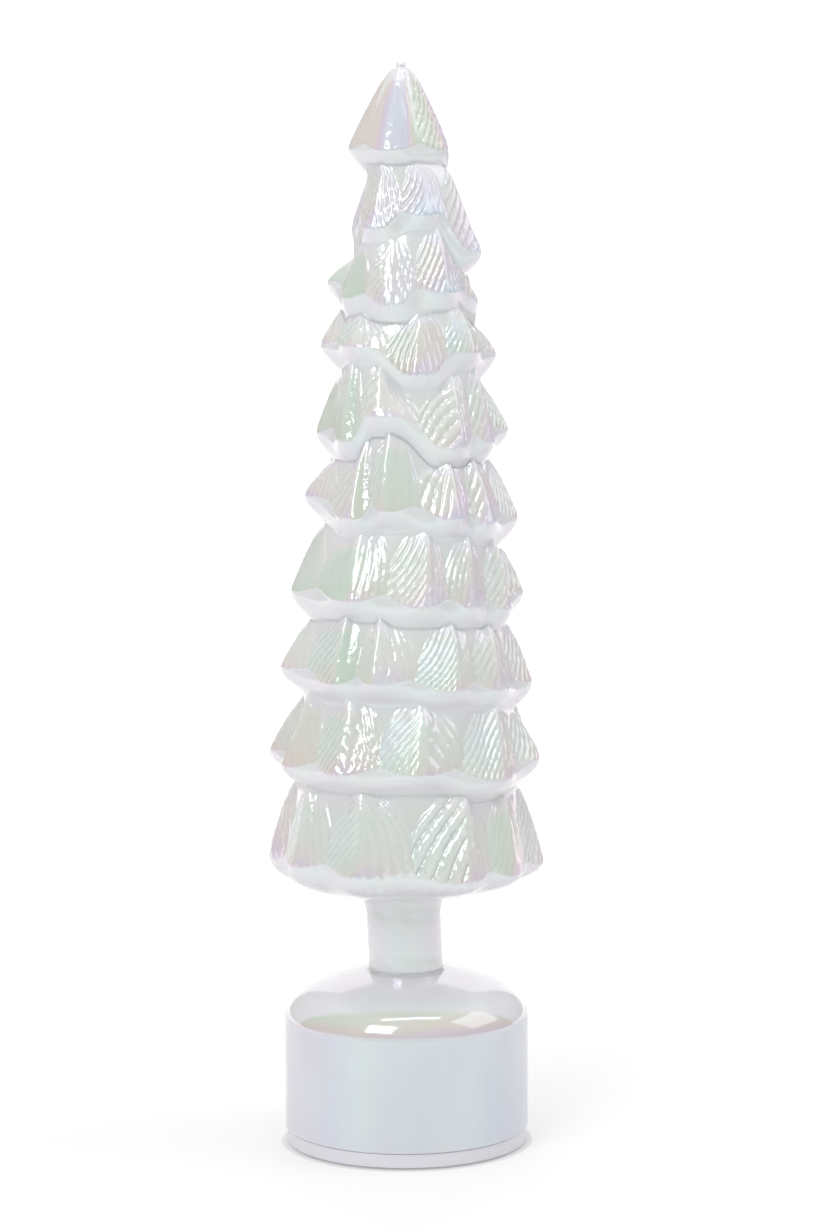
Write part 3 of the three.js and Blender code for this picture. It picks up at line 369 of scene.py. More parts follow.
# Light mast and LEDs
# A clear acrylic tube around a strip with eight warm white LEDs, each a yellow phosphor square in a
# white housing.

LED_COUNT = 8


def acrylic():
    """Clear plastic with faint drawn lines up the tube."""
    finish = Finish("clear_acrylic")
    lines = finish.noise(1, 2, finish.stretched(1600, 1600, 40))
    return finish.show(finish.shader(
        Base_Color=finish.blend(lines, (0.93, 0.96, 0.96), (0.86, 0.9, 0.91)),
        Roughness=0.06 + 0.1 * lines,
        Transmission_Weight=0.85,
        IOR=1.49,
        Normal=finish.bump(lines, 0.00002)))


def phosphor():
    """Warm white, with the grain of the phosphor."""
    finish = Finish("led_phosphor")
    grain = finish.noise(5200, 2)
    return finish.show(finish.shader(
        Base_Color=finish.blend(grain, (0.95, 0.82, 0.42), (0.9, 0.74, 0.34)),
        Roughness=0.3 + 0.2 * grain,
        Normal=finish.bump(grain, 0.00003)))


cover(acrylic(), "light_mast")
cover(phosphor(), *[f"led_{i}" for i in range(1, LED_COUNT + 1)])


# Glass base
# A blown cylinder with a domed top. Its white pearl glass carries a lustre: a thin film of metal
# oxide, fired on, whose colours drift with its thickness. The rim is fire-polished.

MM = 0.001
FINE_COLUMNS = 560
BASE_RADIUS_MM = 43.18
GLASS_WALL_MM = 2.5
RIM_Z_MM = 5.7
RIM_ROUND_MM = 0.8
SHOULDER_Z_MM = 44
DOME_RISE_MM = 18.6
DOME_SQUARENESS = 2.25
LAND_RADIUS_MM = 15.2
SPIGOT_OUTER_MM = 10.4
SPIGOT_INNER_MM = 9.2
SPIGOT_HEIGHT_MM = 6
LAND_EASE_MM = 0.4
SHOULDER_EASE_MM = 1
BASE_COLUMNS = 256
glass_inner_mm = BASE_RADIUS_MM - GLASS_WALL_MM


def dome_height(radius, full_radius, rise):
    """The shoulder's height plus the rise times a root: of 1 less the radius's share of the full
    radius raised to the squareness, and the root is to the squareness too."""
    share = np.clip(radius / full_radius, 0, 1) ** DOME_SQUARENESS
    return SHOULDER_Z_MM + rise * (1 - share) ** (1 / DOME_SQUARENESS)


LAND_Z_MM = float(dome_height(LAND_RADIUS_MM, BASE_RADIUS_MM, DOME_RISE_MM))


def arc(radius, z, size, start, end, count):
    """Points [radius, height] on a circle about a centre, from one angle to another."""
    turn = np.radians(np.linspace(start, end, count))
    return np.stack([radius + size * np.cos(turn), z + size * np.sin(turn)], 1)


def line(start, end, count):
    """Evenly spaced points from start towards end, without the end."""
    share = np.linspace(0, 1, count + 1)[:-1, None]
    return np.array(start) * (1 - share) + np.array(end) * share


def dome(full_radius, rise, inner_radius, count):
    """The dome's profile from its shoulder in to a radius, which follows the cosine of an angle in
    even steps from 0 to 90 degrees."""
    turn = np.linspace(0, np.pi / 2, count)
    radius = inner_radius + (full_radius - inner_radius) * np.cos(turn)
    return np.stack([radius, dome_height(radius, full_radius, rise)], 1)


def around(angle, radius, z):
    """The point at an angle, a radius and a height: the radius times the angle's sine along +X and
    its cosine along -Y."""
    turn = np.radians(angle)
    return np.stack([radius * np.sin(turn), -radius * np.cos(turn), z + 0 * turn], -1)


def skin(name, rows, finish, body, nodes, capped=False, normals=None, marks=None):
    """A closed surface through a grid of points [row, column], in millimetres. Columns close round
    the axis. The last row joins the first, or if capped both close in a point. Marks are named
    values that the finish reads."""
    count, columns = rows.shape[:2]
    points = rows.reshape(-1, 3)
    row = np.arange(count - 1 if capped else count)[:, None]
    column = np.arange(columns)[None, :]
    right = (column + 1) % columns
    above = (row + 1) % count
    quads = np.stack([row * columns + column, row * columns + right,
                      above * columns + right, above * columns + column], -1).reshape(-1, 4)
    corners = quads.ravel()
    sizes = np.full(len(quads), 4)
    if capped:
        ends = np.array([rows[0].mean(0), rows[-1].mean(0)])
        first, last = len(points), len(points) + 1
        points = np.concatenate([points, ends])
        low = np.stack([right, column, first + 0 * column], -1).reshape(-1, 3)
        top = (count - 1) * columns
        high = np.stack([top + column, top + right, last + 0 * column], -1).reshape(-1, 3)
        corners = np.concatenate([corners, low.ravel(), high.ravel()])
        sizes = np.concatenate([sizes, np.full(2 * columns, 3)])
    mesh = bpy.data.meshes.new(name)
    mesh.vertices.add(len(points))
    mesh.vertices.foreach_set("co", (points * MM).astype(np.float32).ravel())
    mesh.loops.add(len(corners))
    mesh.loops.foreach_set("vertex_index", corners.astype(np.int32))
    mesh.polygons.add(len(sizes))
    mesh.polygons.foreach_set("loop_start", np.concatenate([[0], np.cumsum(sizes)[:-1]]).astype(np.int32))
    mesh.update(calc_edges=True)
    mesh.shade_smooth()
    for mark, values in (marks or {}).items():
        layer = mesh.attributes.new(mark, "FLOAT", "POINT")
        whole = np.zeros(len(points), np.float32)
        whole[:values.size] = values.ravel()
        layer.data.foreach_set("value", whole)
    if normals is not None:
        directions = np.zeros((len(points), 3))
        directions[:normals.size // 3] = normals.reshape(-1, 3)
        if capped:
            directions[-2:] = [[0, 0, -1], [0, 0, 1]]
        mesh.normals_split_custom_set_from_vertices(directions)
    mesh.materials.append(finish.material)
    piece = bpy.data.objects.new(name, mesh)
    bpy.context.scene.collection.objects.link(piece)
    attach(piece, body)
    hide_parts(*nodes)
    return piece


# The lustre's colours in linear light, from where the film is thinnest
LUSTRE_STOPS = [
    (0.0, (0.54, 0.63, 0.65)),
    (0.15, (0.52, 0.62, 0.52)),
    (0.32, (0.57, 0.595, 0.50)),
    (0.48, (0.62, 0.56, 0.51)),
    (0.62, (0.60, 0.515, 0.595)),
    (0.8, (0.575, 0.585, 0.65)),
    (0.9, (0.575, 0.65, 0.675)),
    (1.0, (0.49, 0.565, 0.62)),
]
PEARL_WHITE = (0.715, 0.735, 0.725)
SILVER_FILM_NM = 75.0
RAINBOW_FILM_NM = 298.0
FILM_IOR = 2.0
RAINBOW_SHARE = 0.3
LUSTRE_DRIFT = 0.22
RIPPLE_HEIGHT = 0.0002


def marked(finish, name):
    """The value that the glass carries under a name."""
    return finish.node("ShaderNodeAttribute", {"attribute_name": name}, output="Fac")


def pearl(name, white):
    """White glass with the lustre's colour at the phase and the depth that it is marked with, under
    a thin silvery film that drifts into a thicker one."""
    finish = Finish(name)
    clouds = finish.noise(38, 3, distortion=0.6)
    streaks = finish.noise(1, 3, finish.stretched(90, 90, 30))
    tint = finish.ramp(marked(finish, "lustre") + LUSTRE_DRIFT * (clouds - 0.5), LUSTRE_STOPS)
    colour = finish.blend(marked(finish, "tint_depth"), white, tint)
    ripple = finish.bump(finish.noise(420, 2) * marked(finish, "ripple"), RIPPLE_HEIGHT)
    rough = 0.06 + 0.05 * streaks
    silver, rainbow = [
        finish.shader(Base_Color=colour, Roughness=rough, IOR=1.5, Thin_Film_Thickness=film,
                      Thin_Film_IOR=FILM_IOR, Subsurface_Weight=0.6, Subsurface_Scale=0.004,
                      Subsurface_Radius=(1, 1, 1), Normal=ripple)
        for film in (SILVER_FILM_NM, RAINBOW_FILM_NM)]
    return finish.show(finish.node("ShaderNodeMixShader", sockets={
        0: 2 * RAINBOW_SHARE * streaks, 1: silver, 2: rainbow}))


PEARL = pearl("pearl_glass", PEARL_WHITE)


def base_profile():
    """Up the outside from the rim, over the dome, round the spigot and down the inside."""
    outer = line((BASE_RADIUS_MM, RIM_Z_MM + RIM_ROUND_MM), (BASE_RADIUS_MM, SHOULDER_Z_MM), 30)
    spigot_top = LAND_Z_MM + SPIGOT_HEIGHT_MM
    return np.concatenate([
        arc(glass_inner_mm + RIM_ROUND_MM, RIM_Z_MM + RIM_ROUND_MM, RIM_ROUND_MM, 180, 270, 6),
        arc(BASE_RADIUS_MM - RIM_ROUND_MM, RIM_Z_MM + RIM_ROUND_MM, RIM_ROUND_MM, 270, 360, 8)[:-1],
        outer,
        dome(BASE_RADIUS_MM, DOME_RISE_MM, LAND_RADIUS_MM, 64),
        line((LAND_RADIUS_MM - LAND_EASE_MM, LAND_Z_MM), (SPIGOT_OUTER_MM, LAND_Z_MM), 5),
        line((SPIGOT_OUTER_MM, LAND_Z_MM), (SPIGOT_OUTER_MM, spigot_top), 4),
        line((SPIGOT_OUTER_MM, spigot_top), (SPIGOT_INNER_MM, spigot_top), 2),
        line((SPIGOT_INNER_MM, spigot_top), (SPIGOT_INNER_MM, LAND_Z_MM), 3),
        dome(glass_inner_mm, DOME_RISE_MM - GLASS_WALL_MM, SPIGOT_INNER_MM, 32)[::-1],
        line((glass_inner_mm, SHOULDER_Z_MM - SHOULDER_EASE_MM),
             (glass_inner_mm, RIM_Z_MM + RIM_ROUND_MM), 12),
    ])


base_angle = np.arange(BASE_COLUMNS) * 360 / BASE_COLUMNS
base_rows = base_profile()
base_grid = around(base_angle[None, :], base_rows[:, :1], base_rows[:, 1:])

# Painted reflections of the studio, in the lustre's colours: soft upright bands of lavender, ice and blue
# on the side, and a lens of tan and rose on the front and the back of the shoulder. Each band is degrees
# round the base and the lustre there
RING_LOW_MM = 46
RING_EDGE_MM = 0.5
RING_RISE_MM = 9.5
RING_FADE_IN = 10
RING_FADE_OUT = 4
REFLECTED_LENS_LUSTRE = 0.58
RING_DRIFT = 0.42
RING_SWAY = 0.1
DOME_TINT = 0.15
SIDE_REFLECTION_DEPTH = 0.75
BASE_RIPPLE = 0.08
SIDE_REFLECTION_BANDS = [(-180, 0.8), (-120, 0.9), (-70, 0.8), (-40, 0.82), (-22, 0.91), (-10, 0.82), (8, 0.8),
              (25, 0.86), (38, 0.9), (52, 0.98), (85, 1.0), (120, 0.85), (180, 0.8)]
base_z = base_rows[:, 1:]
around_base = np.radians(base_angle)[None, :]
band_angles, band_lustres = zip(*SIDE_REFLECTION_BANDS)
# Painted reflection: the side's colour bands, fixed by the angle round the base
side_reflection_lustre = np.interp((base_angle + 180) % 360 - 180, band_angles, band_lustres)[None, :]
# Painted reflection: the shoulder's lens, strongest where the base faces the front or the back
facing_front = np.clip(2 * np.abs(np.cos(around_base)) - 1, 0, 1)
ring_share = (base_z - RING_LOW_MM) / (RING_EDGE_MM + RING_RISE_MM * facing_front ** 0.5)
on_reflected_lens = np.clip(RING_FADE_IN * ring_share, 0, 1) * np.clip(RING_FADE_OUT * (1 - ring_share), 0, 1)
reflected_lens_phase = REFLECTED_LENS_LUSTRE - RING_DRIFT * ring_share + RING_SWAY * np.sin(around_base + 0.6)
base_reflection_lustre = np.where(on_reflected_lens > 0, reflected_lens_phase, side_reflection_lustre)
# How deep the painted reflections show: deep on the side, faint on the dome
base_reflection_depth = np.where(base_z > RING_LOW_MM, np.maximum(on_reflected_lens, DOME_TINT), SIDE_REFLECTION_DEPTH + 0 * on_reflected_lens)
skin("base_glass", base_grid, PEARL, "turntable", ["glass_base"],
     marks={"lustre": base_reflection_lustre, "tint_depth": base_reflection_depth, "ripple": BASE_RIPPLE + 0 * base_reflection_depth})


# Bead
# Milky adhesive in the corner at the trunk's foot, smoothed with a fingertip to a hollow round that
# swells and thins round the ring. Its colour is painted lighter than the glass, as painted light against
# the shade in the corner.

BEAD_INNER_MM = 12.95
BEAD_Z_MM = LAND_Z_MM - 0.12
BEAD_SIZE_MM = 1.9
BEAD_COLUMNS = 144
BEAD_ROWS = 9
# Painted light: both colours are lighter than the adhesive, to lift the shade in the corner
MILK_BLUE_PAINTED_LIGHT = (0.84, 0.86, 0.88)
MILK_CREAM_PAINTED_LIGHT = (0.88, 0.87, 0.84)


def milky_bead_painted_light():
    """Cured adhesive: milky, a little blue, with small bubbles, painted lighter against the corner's shade.
    """
    finish = Finish("milky_adhesive_painted_light")
    bubbles = finish.noise(900, 3)
    return finish.show(finish.shader(
        Base_Color=finish.blend(bubbles, MILK_BLUE_PAINTED_LIGHT, MILK_CREAM_PAINTED_LIGHT),
        Roughness=0.08 + 0.2 * bubbles,
        Subsurface_Weight=0.6,
        Subsurface_Scale=0.003,
        Subsurface_Radius=(1, 1, 1),
        IOR=1.43,
        Normal=finish.bump(bubbles, 0.0001)))


# Its size is a mean and two waves, of three and of seven swells round the ring. Its face is the hollow
# side of a quarter circle from the dome up to the trunk, and it closes in the corner behind
bead_angle = np.arange(BEAD_COLUMNS)[None, :] * 360 / BEAD_COLUMNS
bead_swell = (0.78 + 0.12 * np.sin(np.radians(3 * bead_angle + 40))
              + 0.1 * np.sin(np.radians(7 * bead_angle)))
bead_turn = np.radians(np.linspace(0, 90, BEAD_ROWS))[:, None]
bead_reach = BEAD_SIZE_MM * bead_swell
bead_out = around(bead_angle, BEAD_INNER_MM + bead_reach * (1 - np.sin(bead_turn)),
                  BEAD_Z_MM + bead_reach * (1 - np.cos(bead_turn)))
in_corner = np.ones((1, BEAD_COLUMNS))
bead_foot = around(bead_angle, BEAD_INNER_MM * in_corner, BEAD_Z_MM)
bead_facing = np.concatenate([around(bead_angle, np.sin(bead_turn), np.cos(bead_turn)),
                              around(bead_angle, -0.7 * in_corner, -0.7)])
skin("trunk_adhesive", np.concatenate([bead_out, bead_foot]), milky_bead_painted_light(), "turntable",
     ["trunk_bead"], normals=bead_facing)


# Glass trunk
# A drawn glass tube with faint rings from the pulling and smears of lustre by its two joints. Its white is
# painted a little lighter than the rest's, as painted light against the shade the crown casts on it. It
# leans a little, flares at the top and holds the crown on a short spigot.

CROWN_ROOT_MM = 90
TRUNK_RADIUS_MM = 13.1
TRUNK_FLARE_MM = 1.2
FLARE_START = 0.7
TRUNK_SHIFT_MM = -1.1
CROWN_SPIGOT_MM = 11.8
CROWN_SPIGOT_RISE_MM = 2.5
TRUNK_FOOT_ROUND_MM = 0.5
TRUNK_ROWS = 48
JOINT_GAP_MM = 0.2
# Painted light: a lighter white than the crown's, lifting the crown's shade off the trunk
TUBE_WHITE_PAINTED_LIGHT = (0.81, 0.82, 0.81)
TUBE_TINT = 0.1
TUBE_RIPPLE = 0.1
SMEAR_TINT = 0.3
SMEAR_TOP_MM, SMEAR_TOP_SPREAD_MM = 83, 4
SMEAR_FOOT_MM, SMEAR_FOOT_SPREAD_MM = 66, 2


def eased(share):
    """Three times the share squared less twice its cube: a smooth step from 0 to 1."""
    share = np.clip(share, 0, 1)
    return share * share * (3 - 2 * share)


def trunk_profile():
    """Up the outside from a small round at the foot, in over the spigot and down the bore."""
    bore = TRUNK_RADIUS_MM - GLASS_WALL_MM
    bottom, top = LAND_Z_MM + JOINT_GAP_MM, CROWN_ROOT_MM - JOINT_GAP_MM
    round_mm = TRUNK_FOOT_ROUND_MM
    z = np.linspace(bottom + round_mm, top, TRUNK_ROWS)
    share = (z - bottom) / (top - bottom)
    rings = 0.04 * np.sin(z * 0.9) + 0.02 * np.sin(z * 2.3)
    outer = TRUNK_RADIUS_MM + TRUNK_FLARE_MM * eased((share - FLARE_START) / (1 - FLARE_START)) + rings
    spigot_top = CROWN_ROOT_MM + CROWN_SPIGOT_RISE_MM
    return np.concatenate([
        arc(TRUNK_RADIUS_MM - round_mm, bottom + round_mm, round_mm, 270, 360, 5)[:-1],
        np.stack([outer, z], 1),
        line((outer[-1] - 0.3, top), (CROWN_SPIGOT_MM, top), 4),
        line((CROWN_SPIGOT_MM, top), (CROWN_SPIGOT_MM, spigot_top), 3),
        line((CROWN_SPIGOT_MM, spigot_top), (bore, spigot_top), 2),
        line((bore, spigot_top), (bore, bottom), 16),
        [[bore, bottom]]])


def near(z, middle, spread):
    """The bell curve of the distance from a height: 1 there, and about a third one spread away."""
    return np.exp(-((z - middle) / spread) ** 2)


trunk_rows = trunk_profile()
trunk_z = trunk_rows[:, 1:]
trunk_grid = around(base_angle[None, :], trunk_rows[:, :1], trunk_z)
trunk_grid[..., 0] += TRUNK_SHIFT_MM * (trunk_z - LAND_Z_MM) / (CROWN_ROOT_MM - LAND_Z_MM)
smears = np.sin(5 * around_base + 0.9 * trunk_z) * np.sin(3 * around_base - 0.5 * trunk_z + 1)
smeared = (near(trunk_z, SMEAR_TOP_MM, SMEAR_TOP_SPREAD_MM)
           + 1.2 * near(trunk_z, SMEAR_FOOT_MM, SMEAR_FOOT_SPREAD_MM))
trunk_lustre = 0.5 + 0.4 * np.sin(0.42 * trunk_z + 1.2) + 0.2 * smears
trunk_tint = TUBE_TINT + SMEAR_TINT * smeared * (0.6 + 0.4 * smears)
skin("trunk_glass", trunk_grid, pearl("pearl_tube_painted_light", TUBE_WHITE_PAINTED_LIGHT), "turntable",
     ["glass_trunk"], marks={"lustre": trunk_lustre, "tint_depth": trunk_tint,
                             "ripple": TUBE_RIPPLE + 0 * trunk_lustre})


# Glass crown
# Blown in a carved mould, in the same pearl glass. Each bough is a wedge with a crisp ridge and
# grooved needles on a smooth core, and between tiers the glass rolls under in a plain band. It is
# one hollow shell, whose skin is cut in the necks into six pieces.

# The bands between tiers: how low they reach, how far they tuck in, and how they roll under
SKIRT_BAND_MM = 5
SKIRT_CURVE = 1.5
LIP_BAND_MM = 2.6
LIP_TUCK_MM = 0.9
BAND_SWAY_MM = 2
UNDERSIDE_DROP_MM = 9.5
ROLL_START = 0.5
ROLL_CORNER = 1.1
ROLL_ROWS = 18
SKIRT_UNDER_ROWS = 34
UNDER_ROWS = 9

# The wedges: how deep and how high the valleys between them run, how wide they are at the top and
# the foot, and how far up towards the lip above they climb, tier by tier
VALLEY_DEPTH = 0.6
VALLEY_RISE = 0.1
TIER_VALLEY_RISE = 0.012
TIP_VALLEY_RISE = 0.08
TOP_VALLEY_SHARE = 0.3
RIDGE_ROUND = 0.05
BOUGH_TOP_WIDTH = 0.38
BOUGH_FOOT_WIDTH = 1.3
BOUGH_SPREAD = 0.62
BOUGH_STEP = 0.55
BOUGH_CLIMB = [0.5, 0.55, 0.6, 0.6, 0.65, 0.65, 0.7, 0.75, 0.8]
VALLEY_CLIMB = [0.5, 0.5, 0.5, 0.55, 0.6, 0.7, 0.75, 0.8, 0.9]
ROW_STEP_MM = 0.6
SLOPE_STRETCH = 1.04
LIP_SOFTENING = 1
NECK_SOFTENING = 7

# The sides, where the lips are level, rounder and a little fuller
SIDE_EDGE = 0.12
SIDE_FADE = 0.5
LIP_ROUNDING = 40
LIP_REACH_ROWS = 14
LIP_SWELL_MM = 0.9

# The tip and its nub
TIP_RISE_MM = 28.5
NUB_RADIUS_MM = 2
NUB_HEIGHT_MM = 2

# Each tier: rise, reach, neck, bulge, shift of lip and neck, and boughs as [angle, level, extra
# reach, needles on the left face, needles on the right face]
TIERS = [
    (11, 47.6, 38.4, 0.72, (0.1, 0.6), [
        (-88, 2, 0, 1, 0.8), (-54, 3.5, 0, 0.9, 0.6), (-22, 2.5, 0, 0.35, 0.9), (29, 0, 0, 1.9, 0.7),
        (53, 0, 0, 0.4, 0.5), (87, -1, 0.4, 0.7, 1), (124, 0, 0, 1, 1), (161, 2, 0, 0.8, 1),
        (198, -1, 0, 1, 0.8), (235, 1, 0, 1, 1)]),
    (37.3, 47.4, 36, 0.8, (-0.2, 1.8), [
        (-93, 2, 0, 0.5, 0.5), (-62, 0, 0, 0.2, 0.3), (-30, 0, 0, 1.1, 1), (7, 0.5, 0, 0.9, 0.6),
        (47, -3.5, 0, 1, 0.8), (82, -0.5, 0, 0.7, 1), (116, 1, 0, 0.8, 1), (154, -1, 0, 1, 1),
        (191, 2, 0, 1, 0.7), (229, 0, 0, 1, 1)]),
    (29.2, 43.8, 34.2, 0.75, (0.2, 1.3), [
        (-79, 3.4, 0, 0.3, 0.5), (-34, 1.5, 0, 1.1, 0.1), (-15, 2, 0, 0.2, 0.6), (24, -0.5, 0, 1, 0.8),
        (50, -2, 0, 0.5, 0.7), (88, -3, 0, 0.6, 1), (121, 0, 0, 1, 0.7), (155, 1, 0, 0.8, 1),
        (188, -1, 0, 1, 1), (222, 1, 0, 1, 0.8), (247, 2, 0, 0.8, 1)]),
    (28, 40.4, 30.4, 0.75, (1, 2.7), [
        (-85, 1.5, 0, 0.1, 0.1), (-31, 1.8, 0, 0.1, 0.5), (9, 0, 0, 0.9, 0.8), (36, -1, 0, 0.6, 0.8),
        (60, -3, 0, 0.7, 1), (95, -0.3, 0, 1, 0.8), (131, 1, 0, 0.8, 1), (167, 0, 0, 1, 1),
        (203, 2, 0, 1, 0.7), (239, 0, 0, 1, 1)]),
    (30.5, 37, 26.6, 0.8, (2.8, 2.6), [
        (-84, 4.8, 0, 0.3, 0.8), (-34, -1, 0, 0.9, 0.1), (-15, 2, 0, 0.6, 0.3), (26, -1, 0, 0.7, 0.8),
        (46, -3.5, 0, 0.6, 0.8), (90, -4, 0, 0.7, 1), (130, 0, 0, 0.8, 1), (170, 2, 0, 1, 1),
        (210, -1, 0, 1, 0.7), (240, 2, 0, 1, 1)]),
    (26, 33, 24, 0.88, (3.1, 2.7), [
        (-88, 0.5, 0, 0.1, 0.1), (-46, -1, 0, 0.15, 0.2), (-22, 8, 0, 0.7, 0.5), (31, -3, 0, 1.1, 0.8),
        (57, -2, 0, 0.8, 1), (92, 0.8, 0, 0.8, 1), (137, 2, 0, 1, 0.8), (182, -1, 0, 0.8, 1),
        (227, 1, 0, 1, 1)]),
    (29.5, 30.2, 23, 0.85, (2, 2.4), [
        (-88, 1.6, 0, 0.5, 0.6), (-42, 2, 0, 0.8, 0.8), (8, -7.5, 0, 0.9, 0.8), (50, -0.5, 0, 0.7, 1),
        (92, -1.8, 0, 0.8, 1), (137, 1, 0, 1, 0.8), (182, -2, 0, 0.8, 1), (227, 1, 0, 1, 1)]),
    (19, 26.2, 18.8, 0.85, (1.8, 1.8), [
        (-93, 4.4, 1.2, 0.1, 0.1), (-59, -1, 0, 0.1, 0.1), (-15, -3, 0, 0.6, 0.9), (32, 1, 0, 1, 0.7),
        (80, -2, -2, 0.7, 1), (130, -2, 0, 1, 0.8), (165, 0, 0, 1, 1), (215, 1, 0, 0.8, 1)]),
    (23, 22.6, 13.4, 0.95, (1.6, 2.2), [
        (-88, -1, -4, 0.3, 0.5), (-31, 0, 0, 0.9, 1), (17, 4.5, 0, 0.8, 0.6), (70, -8.6, 4.2, 0.7, 1),
        (118, -2, 0, 1, 1), (170, 0, 0, 0.8, 1), (223, 1, 0, 1, 0.8)]),
    (26.5, 18, 2.4, 0.78, (-0.7, 0), [
        (-82, 0.4, 0.2, 0.1, 0.1), (-15, 0, 0, 0.05, 0.3), (68, 0, 0, 0.8, 0.9), (125, 0, 0, 1, 0.8),
        (180, 0, 0, 0.8, 1), (230, 0, 0, 1, 0.4)]),
]

# Needles: grooves that fall away from a bough's ridge on both sides
NEEDLE_PITCH_MM = 3.3
NEEDLE_DEPTH_MM = 0.75
NEEDLE_FALL = 1.25
BROAD_NEEDLES = 1.2
BROAD_PITCH = 2.4
RIGHT_FACE_SHARE = 0.5
LEFT_FAN = (0.25, 0.25)
RIGHT_FAN = (0.65, 0.35)
PITCH_SPREAD = 0.25
FALL_SPREAD = 0.2
BROAD_WANDER = 0.3
GROOVE_SHARPNESS = 0.8
RELIEF_MM = 0.3
RELIEF_EDGE = 0.06
RELIEF_FADE = 4
SCALLOP_MM = 0.9
SCALLOP_LEVEL = 0.6
SCALLOP_FADE = 4
FACE_HOLLOW = 0.95
FAN_LINES = 4.5
RIDGE_SWAY = 1.6
HAMMER_MM = 0.035
HAMMER_ON_PLAIN = 0.4
GROOVE_LEVEL = 0.62
NEEDLE_START_MM = 1.1
MOST_BOUGHS = 12

luck = np.random.default_rng(307)
chance = luck.uniform(-1, 1, (len(TIERS), MOST_BOUGHS, 4))


def boughs_at(tier, angle):
    """For each angle, what its two neighbouring boughs give: 0 at a ridge to 1 in the valley, the
    lip's level and reach, the degrees from the nearest ridge, that bough's number and needles."""
    boughs = np.array(tier[5], float)
    starts = boughs[:, 0]
    turn = (angle - starts[0]) % 360
    edges = np.append(starts - starts[0], 360)
    left = np.clip(np.searchsorted(edges, turn, "right") - 1, 0, len(boughs) - 1)
    gap = edges[left + 1] - edges[left]
    share = (turn - edges[left]) / gap
    right = (left + 1) % len(boughs)
    mix = eased((share - 0.5) / BOUGH_STEP + 0.5)
    near_right = share > 0.5
    return {
        "valley": 1 - np.abs(2 * share - 1),
        "level": boughs[left, 1] * (1 - mix) + boughs[right, 1] * mix,
        "extra": boughs[left, 2] * (1 - mix) + boughs[right, 2] * mix,
        "off": np.where(near_right, (share - 1) * gap, share * gap),
        "bough": np.where(near_right, right, left),
        "needles": np.where(near_right, boughs[right, 3], boughs[left, 4]),
    }


def grooves(tier, bough, sideways, z, needles, wedge):
    """0 in a groove to 1 between grooves: the sine's size along a mix of two runs, both wandering a
    little. One falls away from the ridge on both sides, at each bough's own pitch. The other fans out
    from the bough's top, and weighs more on right faces."""
    own = chance[tier, bough]
    broad = needles > BROAD_NEEDLES
    pitch = NEEDLE_PITCH_MM * (1 + PITCH_SPREAD * own[..., 0]) * np.where(broad, BROAD_PITCH, 1)
    fan = np.where(sideways < 0, LEFT_FAN[0] + LEFT_FAN[1] * own[..., 1],
                   RIGHT_FAN[0] + RIGHT_FAN[1] * own[..., 2])
    fan = np.where(broad, 0, fan)
    fallen = (z + NEEDLE_FALL * (1 + FALL_SPREAD * own[..., 3]) * np.abs(sideways)) / pitch
    wander = 0.4 * np.sin(0.23 * sideways + 5 * own[..., 2]) + 0.3 * np.sin(0.19 * z + 9 * own[..., 3])
    wander = wander * np.where(broad, BROAD_WANDER, 1)
    run = (1 - fan) * fallen + fan * FAN_LINES * (1 - wedge) + wander
    return np.abs(np.sin(np.pi * run)) ** GROOVE_SHARPNESS


def shift_at(z):
    """How far a level stands towards +X, in straight runs between the lips and the necks."""
    heights, shifts = [LAND_Z_MM, CROWN_ROOT_MM], [0, TRUNK_SHIFT_MM]
    level = CROWN_ROOT_MM
    for i, tier in enumerate(TIERS):
        level += tier[0]
        last = i == len(TIERS) - 1
        heights += [level, level + (TIP_RISE_MM if last else TIERS[i + 1][0] - UNDERSIDE_DROP_MM)]
        shifts += list(tier[4])
    return np.interp(z, heights, shifts)


def stretch(start, end, count, bend=1.0):
    """Rows from one curve [radius, z] to the next, without the last. Height bends with a power."""
    share = np.linspace(0, 1, count + 1)[:-1, None]
    return [start[0] + (end[0] - start[0]) * share, start[1] + (end[1] - start[1]) * share ** bend]


def rolled(start, corner, end, count):
    """Rows on the curve from start to end that a corner pulls out: weights of the square of what
    is left, twice the product, and the square of the share. Without the last."""
    share = np.linspace(0, 1, count + 1)[:-1, None]
    parts = ((1 - share) ** 2, 2 * share * (1 - share), share ** 2)
    return [sum(part * point for part, point in zip(parts, points))
            for points in zip(start, corner, end)]


